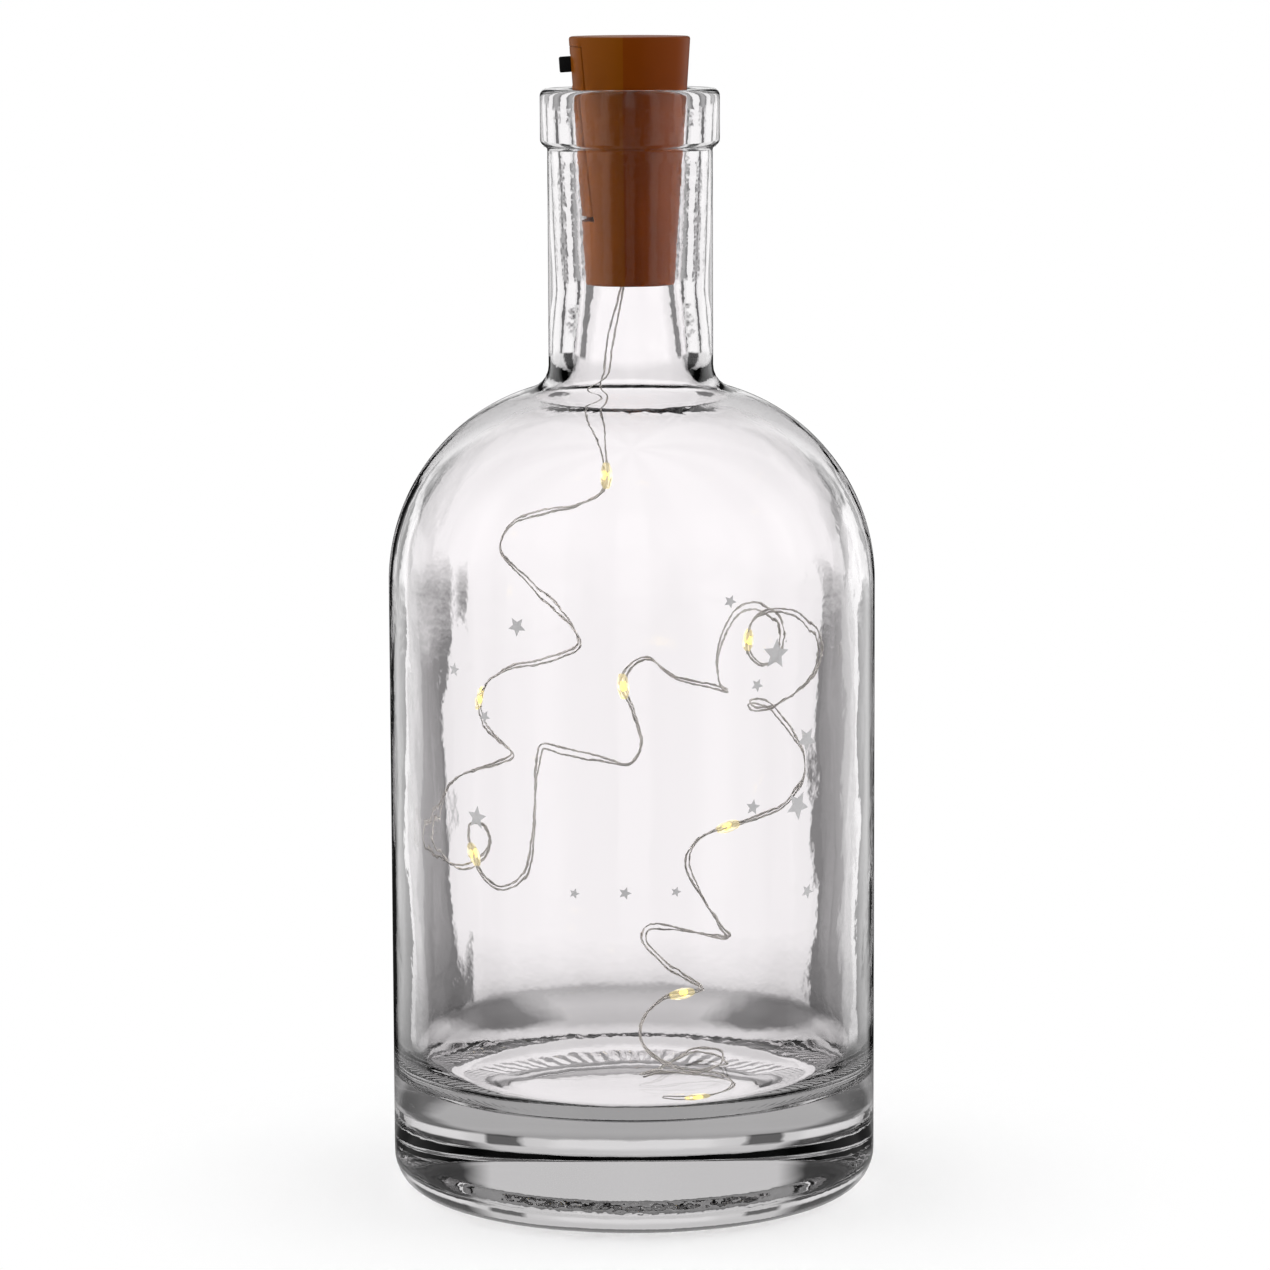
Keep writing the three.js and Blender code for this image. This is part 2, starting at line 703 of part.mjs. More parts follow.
function makeString() {
  const group = new THREE.Group();
  const trim = BEAD_LENGTH / 2 + JOINT_GAP;
  const lastStretch = STRING_STRETCHES.length - 1;
  let reached = 0;
  STRING_STRETCHES.forEach((stretch, i) => {
    const startShare = reached / (stringPoints.length - 1);
    reached += stretch.length;
    const endShare = reached / (stringPoints.length - 1);
    const from = i === 0 ? startShare : shareAfter(startShare, trim);
    const to = i === lastStretch ? endShare : shareAfter(endShare, -trim);
    const name = i === lastStretch ? "string_tail" : `string_wire_${i + 1}`;
    group.add(piece(name, wire(stringRoute, from, to, WIRE_STEPS_PER_POINT * stretch.length), silverWire));
    if (i < lastStretch) group.add(makeBead(i + 1, endShare));
  });
  return group;
}

// Least gap between parts of the wire that lie apart along it
function leastWireGap() {
  const spacing = 1;
  const apart = 8;
  const length = stringRoute.getLength();
  const points = stringRoute.getSpacedPoints(Math.round(length / spacing));
  let least = Infinity;
  points.forEach((point, i) => {
    points.slice(i + apart).forEach((other) => {
      least = Math.min(least, point.distanceTo(other) - 2 * WIRE_RADIUS);
    });
  });
  return least;
}

console.log(`String length ${stringRoute.getLength().toFixed(1)} mm`);
console.log(`Least gap of the string to itself ${leastWireGap().toFixed(2)} mm`);

const switchGroup = new THREE.Group();
switchGroup.position.copy(switchPosition);
switchGroup.rotation.copy(switchTurn);
switchGroup.add(makeBoard(), makeSwitchCase(), makeKnob(), makeResistor());

const stopper = new THREE.Group();
stopper.position.z = stopperBottom;
stopper.add(makeHousing(), makeCover(), makeLead(), switchGroup);
for (let i = 0; i < CELL_COUNT; i++) stopper.add(makeCell(i));
stopper.add(makeContact("contact_bottom", cellBottom - FIT_GAP - CONTACT_THICKNESS, 1));
stopper.add(makeContact("contact_top", cellTop + FIT_GAP, -1));

const bottleLight = new THREE.Group();
bottleLight.add(makeBottle(), stopper, makeString());

export default bottleLight;
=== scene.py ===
# %% [markdown]
# # A bottle light
# A heavy clear glass bottle, a cork-coloured plastic stopper that holds button cells and a slide switch,
# and a string of micro lights hanging and lying inside the glass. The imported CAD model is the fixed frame.
# Every piece here is made in its own place in that frame, in metres.

# %% Load the frame
import math

import bpy
import numpy as np
from mathutils import Euler, Matrix, Vector


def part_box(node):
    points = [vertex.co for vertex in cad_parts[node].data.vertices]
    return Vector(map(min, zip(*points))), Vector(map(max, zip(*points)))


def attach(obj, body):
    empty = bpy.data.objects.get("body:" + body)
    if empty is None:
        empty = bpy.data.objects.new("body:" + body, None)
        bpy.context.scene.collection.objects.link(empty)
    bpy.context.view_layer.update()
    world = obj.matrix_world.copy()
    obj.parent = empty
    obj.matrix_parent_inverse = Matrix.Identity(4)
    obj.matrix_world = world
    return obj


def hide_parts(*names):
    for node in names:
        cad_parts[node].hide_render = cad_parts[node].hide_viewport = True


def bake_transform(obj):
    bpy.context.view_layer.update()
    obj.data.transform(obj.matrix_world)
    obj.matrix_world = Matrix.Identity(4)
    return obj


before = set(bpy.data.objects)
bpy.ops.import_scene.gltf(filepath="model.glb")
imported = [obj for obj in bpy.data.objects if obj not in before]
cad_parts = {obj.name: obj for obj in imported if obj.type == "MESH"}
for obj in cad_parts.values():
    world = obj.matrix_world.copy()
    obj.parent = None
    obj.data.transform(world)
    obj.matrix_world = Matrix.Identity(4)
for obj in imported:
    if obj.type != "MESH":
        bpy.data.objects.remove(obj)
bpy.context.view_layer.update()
MM = 0.001
scene = bpy.context.scene

# %% [markdown]
# ## Camera
# The photograph was taken with a long lens a little above the neck, looking slightly down. The bottle's
# outline gives the distance, and the ellipses of its base and lip give the height and the tilt.

# %% Camera
CAMERA_PLACE = Vector((0.5, -850.7, 213.2)) * MM
CAMERA_TILT = math.radians(7.94)
CAMERA_ROLL = math.radians(-0.24)
SENSOR_WIDTH = 36.0
PHOTO_PIXELS = 1270
FOCAL_PIXELS = 5082

camera_data = bpy.data.cameras.new("camera")
camera_data.sensor_fit = "HORIZONTAL"
camera_data.sensor_width = SENSOR_WIDTH
camera_data.lens = SENSOR_WIDTH * FOCAL_PIXELS / PHOTO_PIXELS
camera = bpy.data.objects.new("camera", camera_data)
camera.location = CAMERA_PLACE
aim = Euler((math.pi / 2 - CAMERA_TILT, 0, 0)).to_matrix() @ Matrix.Rotation(CAMERA_ROLL, 3, "Z")
camera.rotation_euler = aim.to_euler()
scene.collection.objects.link(camera)
scene.camera = camera
scene.view_settings.view_transform = "Standard"
print("Lens:", round(camera_data.lens, 1), "mm")

# %% [markdown]
# ## Helpers
# One function turns an sRGB hex colour to linear. Another adds a node with its settings and links, and
# gives back one of its outputs, so that a tree reads from top to bottom like a recipe.


# %% Colours and nodes
def linear(hex_colour):
    """Linear RGBA of an sRGB colour such as 7A4512"""
    channels = [int(hex_colour[i : i + 2], 16) / 255 for i in (0, 2, 4)]
    curve = [c / 12.92 if c <= 0.04045 else ((c + 0.055) / 1.055) ** 2.4 for c in channels]
    return (*curve, 1.0)


def add(tree, kind, inputs=None, out=0, stops=(), **settings):
    """A new node with its settings, of which one output is given back. An input takes a value, or the
    output that feeds it. A colour ramp takes grey stops, each with its place and level"""
    node = tree.nodes.new(kind)
    for name, value in settings.items():
        setattr(node, name, value)
    for key, value in (inputs or {}).items():
        if isinstance(value, bpy.types.NodeSocket):
            tree.links.new(value, node.inputs[key])
        else:
            node.inputs[key].default_value = value
    if stops:
        elements = node.color_ramp.elements
        while len(elements) < len(stops):
            elements.new(0.5)
        for element, (place, level) in zip(elements, stops):
            element.position = place
            element.color = (level, level, level, 1)
    return node.outputs[out] if node.outputs else None


# %% [markdown]
# A Geometry Nodes tree starts with named inputs, so that its sizes can be changed later in the modifier,
# and ends in real geometry with a material. What it makes becomes a plain mesh, because the export drops
# live modifiers.


# %% Trees that make pieces
def start_tree(name, sockets):
    """A Geometry Nodes tree with these named inputs, and the outputs of its input node"""
    tree = bpy.data.node_groups.new(name, "GeometryNodeTree")
    tree.is_modifier = True
    tree.interface.new_socket("Geometry", in_out="OUTPUT", socket_type="NodeSocketGeometry")
    tree.interface.new_socket("Geometry", in_out="INPUT", socket_type="NodeSocketGeometry")
    for label, kind in sockets.items():
        tree.interface.new_socket(label, in_out="INPUT", socket_type="NodeSocket" + kind)
    return tree, tree.nodes.new("NodeGroupInput").outputs


def end_tree(tree, geometry, material):
    """Makes the instances real and gives them their material"""
    real = add(tree, "GeometryNodeRealizeInstances", {"Geometry": geometry})
    painted = add(tree, "GeometryNodeSetMaterial", {"Geometry": real, "Material": material})
    add(tree, "NodeGroupOutput", {"Geometry": painted})


def base_mesh(name, points, edges, **attributes):
    """Points, with edges between them and values on them, for a tree to start from"""
    mesh = bpy.data.meshes.new(name)
    mesh.from_pydata([tuple(p) for p in points], edges, [])
    for label, values in attributes.items():
        values = np.array(values, np.float32)
        kind, field = ("FLOAT_VECTOR", "vector") if values.ndim == 2 else ("FLOAT", "value")
        mesh.attributes.new(label, kind, "POINT").data.foreach_set(field, values.ravel())
    return mesh


def grow(name, mesh, tree, values):
    """A piece with a plain mesh: what the tree makes of a base mesh"""
    base = bpy.data.objects.new(name + "_base", mesh)
    scene.collection.objects.link(base)
    modifier = base.modifiers.new("tree", "NODES")
    modifier.node_group = tree
    for item in tree.interface.items_tree:
        if item.in_out == "INPUT" and item.name in values:
            modifier[item.identifier] = values[item.name]
    graph = bpy.context.evaluated_depsgraph_get()
    made = bpy.data.meshes.new_from_object(base.evaluated_get(graph), depsgraph=graph)
    bpy.data.objects.remove(base)
    piece = bpy.data.objects.new(name, made)
    scene.collection.objects.link(piece)
    print(name, "has", len(made.polygons), "faces")
    return piece


# %% [markdown]
# Most finishes here aren't one flat colour: they wander a little between two near shades. An image could
# hold such a pattern, but noise needs no file, and the size of its spots is given in millimetres.


# %% Materials
def start_material(name, looks=None):
    """A material: its tree, and its Principled shader, with these inputs, on the output"""
    material = bpy.data.materials.new(name)
    material.use_nodes = True
    tree = material.node_tree
    tree.nodes.clear()
    surface = add(tree, "ShaderNodeBsdfPrincipled", looks)
    add(tree, "ShaderNodeOutputMaterial", {"Surface": surface})
    return material, tree, surface.node


def per(size_mm):
    """Texture scale that gives marks of this size, on coordinates in metres"""
    return 1 / (size_mm * MM)


def shades(tree, size_mm, dark, light, detail=2.0):
    """A colour that wanders between two near shades, in soft spots of about this size"""
    place = add(tree, "ShaderNodeTexCoord", out="Object")
    noise = {"Vector": place, "Scale": per(size_mm), "Detail": detail}
    ends = {"Factor": add(tree, "ShaderNodeTexNoise", noise, "Fac"), "A": linear(dark), "B": linear(light)}
    return add(tree, "ShaderNodeMix", ends, "Result", data_type="RGBA")


def spotted_finish(name, size_mm, dark, light, looks):
    """A material whose colour wanders like that, with these other inputs of its shader"""
    material, tree, shader = start_material(name, looks)
    tree.links.new(shades(tree, size_mm, dark, light), shader.inputs["Base Color"])
    return material


# %% [markdown]
# ## The string's wire
# Two lacquered copper strands, tinned silver-grey, run side by side from the stopper to the tail.
# They are stiff enough to keep the bends that a hand gave them, so the route is a list of points, the same
# as in the CAD model, on one smooth curve. A tree could bend a straight wire by chance, but then it
# wouldn't lie where this one does. Each list below is the stretch up to the next light, and the last one is
# the tail.

# %% Route of the string
EXIT = (-1.2, 0.0, 154.0)
STRETCHES = [
    [(-3.0, 1.8, 147.5), (-4.4, 4.5, 140.8), (-6.5, 7.4, 134.5), (-5.3, 6.4, 128.0), (-4.3, 4.0, 121.5)],
    [
        (-5.0, 4.0, 118.9), (-9.2, 5.8, 116.4), (-15.1, 9.0, 114.6), (-20.8, 12.5, 112.0),
        (-22.4, 14.0, 107.5), (-16.9, 12.0, 101.7), (-10.8, 7.5, 95.6), (-9.2, 5.5, 92.3),
        (-14.0, 7.5, 89.6), (-22.0, 12.5, 87.0), (-27.7, 17.5, 81.4),
    ],
    [
        (-26.6, 18.0, 77.0), (-22.6, 16.2, 73.4), (-20.7, 13.7, 72.0), (-23.2, 12.2, 71.0),
        (-30.3, 13.0, 68.6), (-35.2, 8.5, 63.5), (-36.0, 5.2, 58.6), (-33.4, 8.0, 54.6),
        (-28.6, 13.8, 52.6), (-25.4, 18.0, 55.4), (-26.4, 19.2, 58.9), (-28.6, 17.4, 59.4),
        (-28.8, 15.3, 57.4), (-27.8, 13.0, 54.8),
    ],
    [
        (-26.2, 11.6, 51.2), (-22.6, 11.0, 49.3), (-18.9, 9.8, 51.4), (-17.2, 9.0, 58.5),
        (-16.9, 9.2, 65.5), (-16.4, 11.0, 70.5), (-15.4, 13.0, 73.6), (-12.0, 12.4, 73.0),
        (-5.8, 10.5, 71.8), (-0.6, 9.0, 71.2), (1.4, 8.7, 74.4), (0.2, 11.0, 79.7), (-1.6, 12.5, 84.0),
    ],
    [
        (-0.6, 13.2, 87.2), (2.6, 13.0, 88.7), (7.2, 11.5, 85.8), (13.0, 11.0, 84.4), (16.3, 9.0, 83.7),
        (15.0, 6.9, 85.0), (14.4, 7.0, 90.0), (17.3, 9.5, 96.5), (21.6, 13.8, 97.8), (26.0, 17.6, 94.5),
        (26.2, 18.0, 89.0), (23.0, 16.0, 87.2), (20.6, 14.3, 89.3), (20.3, 13.5, 91.9),
    ],
    [
        (20.9, 11.8, 95.2), (24.6, 11.0, 97.3), (30.2, 12.0, 95.4), (33.0, 13.5, 90.4),
        (31.2, 14.0, 85.0), (25.2, 13.5, 80.7), (21.0, 12.1, 80.1), (20.0, 10.4, 81.4), (22.6, 8.4, 81.8),
        (28.2, 8.8, 76.3), (30.7, 10.0, 70.4), (28.4, 9.8, 65.9), (22.6, 8.4, 62.3), (16.3, 7.5, 60.4),
    ],
    [
        (11.4, 7.0, 58.3), (9.4, 7.8, 54.6), (11.2, 10.6, 49.4), (15.4, 15.4, 41.4), (16.9, 17.6, 38.4),
        (14.9, 19.7, 38.2), (8.0, 20.6, 39.4), (2.3, 19.5, 39.9), (1.4, 17.4, 38.2), (6.0, 12.7, 34.3),
        (11.0, 9.8, 32.0), (12.4, 8.2, 31.6), (11.2, 6.6, 31.4), (8.6, 5.8, 31.0),
    ],
    [
        (5.0, 5.6, 30.0), (1.9, 4.9, 27.4), (1.0, 1.6, 24.7), (3.6, -4.5, 22.7), (9.9, -10.2, 21.4),
        (13.9, -4.9, 21.1), (16.1, 7.1, 19.6), (14.7, 14.2, 19.3), (11.3, 15.2, 19.3), (7.1, 8.1, 19.3),
        (3.2, -1.8, 19.3), (1.3, -4.6, 19.4), (1.8, -6.7, 19.9), (4.2, -6.2, 20.4), (9.1, -3.9, 19.5),
        (13.6, -4.0, 19.3), (16.6, -12.5, 19.3), (15.3, -23.6, 19.5), (10.3, -29.2, 20.0),
    ],
    [(7.2, -29.3, 19.7), (4.8, -27.8, 19.3)],
]
print("Points on the route:", 1 + sum(map(len, STRETCHES)))

# %% [markdown]
# A curve through all the points could overshoot where they lie close together. A centripetal Catmull-Rom
# curve doesn't, so it bends as a stiff wire does.

# %% Smooth curve through the route
STEPS_PER_POINT = 10


def smooth_route(points, steps):
    """Points along a centripetal Catmull-Rom curve through the given ones"""
    ends = np.vstack([2 * points[0] - points[1], points, 2 * points[-1] - points[-2]])
    route = [points[:1]]
    share = np.linspace(0, 1, steps + 1)[1:, None]
    for a, b, c, d in zip(ends, ends[1:], ends[2:], ends[3:]):
        before, here, after = (np.linalg.norm(q - p) ** 0.5 for p, q in ((a, b), (b, c), (c, d)))
        leave = here * ((b - a) / before - (c - a) / (before + here) + (c - b) / here)
        reach = here * ((c - b) / here - (d - b) / (here + after) + (d - c) / after)
        bend = 3 * (c - b) - 2 * leave - reach
        swing = 2 * (b - c) + leave + reach
        route.append(b + leave * share + bend * share**2 + swing * share**3)
    return np.vstack(route)


route_points = [EXIT] + [point for stretch in STRETCHES for point in stretch]
route = smooth_route(np.array(route_points) * MM, STEPS_PER_POINT)
steps = np.linalg.norm(np.diff(route, axis=0), axis=1)
along = np.concatenate([[0], np.cumsum(steps)])
light_index = np.cumsum([len(stretch) for stretch in STRETCHES[:-1]]) * STEPS_PER_POINT
lights = route[light_index]
light_ways = route[light_index + 1] - route[light_index - 1]
print("String length:", round(along[-1] / MM, 1), "mm, with", len(lights), "lights")

# %% [markdown]
# The strands lie close where they enter a light and part a little between lights, more here and less there.
# In the shoulder of the bottle they part further before they meet again at the first light.

# %% Gap between the strands
CLOSE_GAP = 0.22 * MM
LOOSE_GAP = 0.34 * MM
LOOSE_MEAN = 0.55
LOOSE_SWING = 0.45
SWING_LENGTH = 7 * MM
SWING_SHIFT = 2.3
PARTED_GAP = 1.5 * MM
PARTED_AT = 0.6
PARTED_SPREAD = 0.2


def strand_gaps():
    """Half of the distance between the strands, all along the string"""
    marks = np.concatenate([[0], along[light_index], along[-1:]])
    gaps = np.full(len(along), CLOSE_GAP)
    for i, (low, high) in enumerate(zip(marks, marks[1:])):
        share = np.clip((along - low) / (high - low), 0, 1)
        ripple = LOOSE_MEAN + LOOSE_SWING * np.sin(along / SWING_LENGTH + SWING_SHIFT * i)
        gaps += LOOSE_GAP * np.sin(math.pi * share) ** 0.5 * ripple * ((share > 0) & (share < 1))
    first = np.clip(along / marks[1], 0, 1)
    gaps += PARTED_GAP * np.exp(-(((first - PARTED_AT) / PARTED_SPREAD) ** 2)) * (first < 1)
    return gaps


gaps = strand_gaps()
print("Strands lie", round(2 * gaps.min() / MM, 2), "to", round(2 * gaps.max() / MM, 2), "mm apart")

# %% [markdown]
# Two wires could be bent one after the other, but then they would drift apart. The tree follows the one
# route: it shifts the curve to both sides, slowly turning, and sweeps a small circle along each.


# %% Tree of the twin strands
def strands_tree():
    tree, given = start_tree(
        "Twin strands",
        {"Strand Radius": "Float", "Twist Length": "Float", "Sides": "Int", "Material": "Material"},
    )
    curve = add(tree, "GeometryNodeMeshToCurve", {"Mesh": given["Geometry"]})
    length = add(tree, "GeometryNodeSplineParameter", out="Length")
    turns = add(tree, "ShaderNodeMath", {0: length, 1: given["Twist Length"]}, operation="DIVIDE")
    angle = add(tree, "ShaderNodeMath", {0: turns, 1: math.tau}, operation="MULTIPLY")
    cosine = add(tree, "ShaderNodeMath", {0: angle}, operation="COSINE")
    sine = add(tree, "ShaderNodeMath", {0: angle}, operation="SINE")
    normal = add(tree, "GeometryNodeInputNormal")
    tangent = add(tree, "GeometryNodeInputTangent")
    side = add(tree, "ShaderNodeVectorMath", {0: tangent, 1: normal}, operation="CROSS_PRODUCT")
    across = add(tree, "ShaderNodeVectorMath", {0: normal, "Scale": cosine}, operation="SCALE")
    aside = add(tree, "ShaderNodeVectorMath", {0: side, "Scale": sine}, operation="SCALE")
    way = add(tree, "ShaderNodeVectorMath", {0: across, 1: aside}, operation="ADD")
    gap = add(tree, "GeometryNodeInputNamedAttribute", {"Name": "gap"}, data_type="FLOAT")
    circle = {"Resolution": given["Sides"], "Radius": given["Strand Radius"]}
    section = add(tree, "GeometryNodeCurvePrimitiveCircle", circle)
    both = tree.nodes.new("GeometryNodeJoinGeometry")
    for hand in (1, -1):
        reach = add(tree, "ShaderNodeMath", {0: gap, 1: hand}, operation="MULTIPLY")
        shift = add(tree, "ShaderNodeVectorMath", {0: way, "Scale": reach}, operation="SCALE")
        strand = add(tree, "GeometryNodeSetPosition", {"Geometry": curve, "Offset": shift})
        sweep = {"Curve": strand, "Profile Curve": section, "Fill Caps": True}
        tree.links.new(add(tree, "GeometryNodeCurveToMesh", sweep), both.inputs[0])
    smooth = add(tree, "GeometryNodeSetShadeSmooth", {"Geometry": both.outputs[0]})
    end_tree(tree, smooth, given["Material"])
    return tree


# %% [markdown]
# The wire is tinned copper under clear lacquer. A pure mirror of a metal would flicker between black and
# white in such thin lines, so the lacquer is drawn as a half-metallic, satin coat.

# %% The string
STRAND_RADIUS = 0.18 * MM
STRAND_SIDES = 8
TWIST_LENGTH = 46 * MM
LACQUER_SPOTS = 9

# Gives the eye a silver-grey line, brighter along some stretches and duller where the lacquer is thicker
tinned_wire = spotted_finish(
    "Tinned copper wire, lacquered",
    LACQUER_SPOTS,
    "9A9793",
    "C2BEB8",
    {"Metallic": 0.35, "Roughness": 0.45},
)
wire_nodes = [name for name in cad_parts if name.startswith("string_")]
strand_base = base_mesh("string", route, [(i, i + 1) for i in range(len(route) - 1)], gap=gaps)
string = grow(
    "light_string",
    strand_base,
    strands_tree(),
    {
        "Strand Radius": STRAND_RADIUS,
        "Twist Length": TWIST_LENGTH,
        "Sides": STRAND_SIDES,
        "Material": tinned_wire,
    },
)
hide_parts(*wire_nodes)
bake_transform(string)

# %% [markdown]
# ## The lights
# Each light is a tiny chip soldered across both strands, under a drop of clear resin that ran along the
# wire before it set. A sphere would be too plump, so one drop is turned from a short profile with drawn-out
# ends.

# %% Turned shapes
DROP_LENGTH = 4.2 * MM
DROP_RADIUS = 0.95 * MM
DROP_END_RADIUS = 0.45 * MM
DROP_FULLNESS = 0.8
DROP_RINGS = 12
CHIP_SIZE = Vector((0.8, 0.6, 1.5)) * MM


def turned_mesh(name, profile, sides):
    """A closed mesh turned round Z from points of radius and height, with both ends on the axis"""
    inner = profile[1:-1]
    points = [(0, 0, profile[0][1])]
    for radius, height in inner:
        for i in range(sides):
            angle = math.tau * i / sides
            points.append((radius * math.cos(angle), radius * math.sin(angle), height))
    points.append((0, 0, profile[-1][1]))
    last = len(points) - 1
    faces = [(0, 1 + (i + 1) % sides, 1 + i) for i in range(sides)]
    for row in range(len(inner) - 1):
        low = 1 + row * sides
        for i in range(sides):
            following = (i + 1) % sides
            faces.append((low + i, low + following, low + sides + following, low + sides + i))
    top = 1 + (len(inner) - 1) * sides
    faces += [(last, top + i, top + (i + 1) % sides) for i in range(sides)]
    mesh = bpy.data.meshes.new(name)
    mesh.from_pydata(points, [], faces)
    return mesh


def drop_profile():
    half = DROP_LENGTH / 2
    points = [(0, -half)]
    for i in range(DROP_RINGS + 1):
        share = -1 + 2 * i / DROP_RINGS
        swell = math.cos(share * math.pi / 2) ** DROP_FULLNESS
        points.append((DROP_END_RADIUS + (DROP_RADIUS - DROP_END_RADIUS) * swell, share * half))
    return points + [(0, half)]


def chip_profile():
    half = CHIP_SIZE / 2
    lower = [(0, -half.z), (half.y, -half.z), (half.x, -half.z / 2)]
    return lower + [(radius, -height) for radius, height in reversed(lower)]


# %% [markdown]
# Eight drops could be placed by hand. A tree does it from the lights' places on the route, and turns each
# copy so that its axis lies along the wire.


# %% Tree that puts copies on the lights
def lights_tree():
    tree, given = start_tree("Copies along the string", {"Copy": "Object", "Material": "Material"})
    copy = add(tree, "GeometryNodeObjectInfo", {"Object": given["Copy"]}, "Geometry")
    way = add(tree, "GeometryNodeInputNamedAttribute", {"Name": "way"}, data_type="FLOAT_VECTOR")
    turn = add(tree, "FunctionNodeAlignRotationToVector", {"Vector": way}, axis="Z")
    spread = {"Points": given["Geometry"], "Instance": copy, "Rotation": turn}
    copies = add(tree, "GeometryNodeInstanceOnPoints", spread)
    real = add(tree, "GeometryNodeRealizeInstances", {"Geometry": copies})
    smooth = add(tree, "GeometryNodeSetShadeSmooth", {"Geometry": real})
    end_tree(tree, smooth, given["Material"])
    return tree


def on_lights(name, shape, material):
    pattern = bpy.data.objects.new(name + "_pattern", shape)
    scene.collection.objects.link(pattern)
    points = base_mesh(name, lights, [], way=light_ways)
    piece = grow(name, points, lights_tree(), {"Copy": pattern, "Material": material})
    bpy.data.objects.remove(pattern)
    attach(piece, "bottle")
    return piece


# %% [markdown]
# The lights glow only a little more than their surroundings, because a picture has nothing brighter than
# white. The glow comes from the chip. The resin around it glows too: painted light that stands in for the
# chip's light that the resin carries to its ends.

# %% Drops, chips and the cord
DROP_SIDES = 20
CHIP_SIDES = 8

# Gives the eye a clear, faintly yellow bead with a bright edge, which bends what lies behind it, and a faint
# painted glow that stands in for the chip's light carried through the resin
resin_with_painted_glow, _, _ = start_material(
    "Epoxy resin, clear, with painted glow",
    {
        "Base Color": linear("FFFBEC"),
        "Transmission Weight": 1.0,
        "IOR": 1.52,
        "Roughness": 0.06,
        "Emission Color": linear("FFF0B4"),
        "Emission Strength": 0.28,
    },
)
# Gives the eye a small warm-white glow, strongest in the middle of the bead
lit_phosphor, _, _ = start_material(
    "Phosphor on a light chip, lit",
    {
        "Base Color": linear("F2DC8A"),
        "Roughness": 0.7,
        "Emission Color": linear("FFDC5E"),
        "Emission Strength": 1.4,
    },
)
drops = on_lights("light_drops", turned_mesh("drop", drop_profile(), DROP_SIDES), resin_with_painted_glow)
chips = on_lights("light_chips", turned_mesh("chip", chip_profile(), CHIP_SIDES), lit_phosphor)
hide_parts(*[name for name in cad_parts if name.startswith("led_bead_")])

# %% [markdown]
# ## The bottle
# The glass is one piece: a thick base with a push-up, a straight body, a round shoulder and a banded mouth.
# A sphere and cylinders could be joined, but their seams would show in clear glass. So one profile runs
# from the middle of the base up the outside to the lip, and down the inside to the middle of the floor.

# %% Sizes of the glass
glass_low, glass_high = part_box("glass_bottle")
ETCH_THICKNESS = 0.03 * MM
ETCH_LIFT = 0.004 * MM
BODY_RADIUS = glass_high.x - ETCH_LIFT - ETCH_THICKNESS
BOTTLE_HEIGHT = glass_high.z
HEEL_RADIUS = 6.5 * MM
SHOULDER_START = 104 * MM
SHOULDER_RADIUS = 33.9 * MM
NECK_RADIUS = 13.8 * MM
NECK_FILLET = 4 * MM
RING_RADIUS = 15 * MM
RING_HEIGHT = 9.6 * MM
RING_EDGE = 1.2 * MM
WALL = 3.2 * MM
FLOOR_HEIGHT = 18.2 * MM
INNER_HEEL_RADIUS = 8 * MM
NECK_FOOT_BORE = 9.4 * MM
NECK_FOOT_ROUND = 12 * MM
MOUTH_RADIUS = 9.81 * MM
THROAT_RADIUS = 8.5 * MM
THROAT_HEIGHT = 153 * MM
LIP_EDGE = 1 * MM
STANDING_RING_WIDTH = 7 * MM
PUSH_UP_HEIGHT = 3.5 * MM
PUSH_UP_SLOPE = 6 * MM
SOFT_EDGE = 0.6 * MM
print("Glass from", glass_low.z, "to", round(BOTTLE_HEIGHT, 4), "m, radius", round(BODY_RADIUS, 5), "m")

# %% [markdown]
# The profile is made of arcs and straight stretches. Arcs get close points, so that the glass bends light
# evenly.

# %% Profile of the glass
ARC_STEP = 0.95 * MM
LEAST_ARC_STEPS = 5
STRAIGHT_STEP = 2.4 * MM
LEAST_STRAIGHT_STEPS = 2


def arc(radius, height, size, start, end):
    """Points on an arc in the plane of radius and height, from one angle in degrees to another"""
    count = max(LEAST_ARC_STEPS, round(math.radians(abs(end - start)) * size / ARC_STEP))
    angles = np.radians(np.linspace(start, end, count + 1))
    return [(radius + size * math.cos(a), height + size * math.sin(a)) for a in angles]


def line(start, end):
    """Points on a straight stretch, without its ends"""
    start, end = np.array(start), np.array(end)
    count = max(LEAST_STRAIGHT_STEPS, round(float(np.linalg.norm(end - start)) / STRAIGHT_STEP))
    return [tuple(start + (end - start) * i / count) for i in range(1, count)]


def joined(stretches):
    """All points of the stretches in a row, with straight lines of points between them"""
    points = []
    for stretch in stretches:
        if points:
            points += line(points[-1], stretch[0])
        points += stretch
    return points


def neck_round(bore, size, shoulder):
    """Centre and angle of the round between the neck's upright line and the shoulder's arc"""
    across = bore + size - (BODY_RADIUS - SHOULDER_RADIUS)
    up = math.sqrt((shoulder + size) ** 2 - across**2)
    return bore + size, SHOULDER_START + up, math.degrees(math.atan2(up, across))


# %% [markdown]
# Outside and inside are drawn apart, because only the inside and the underside are uneven.


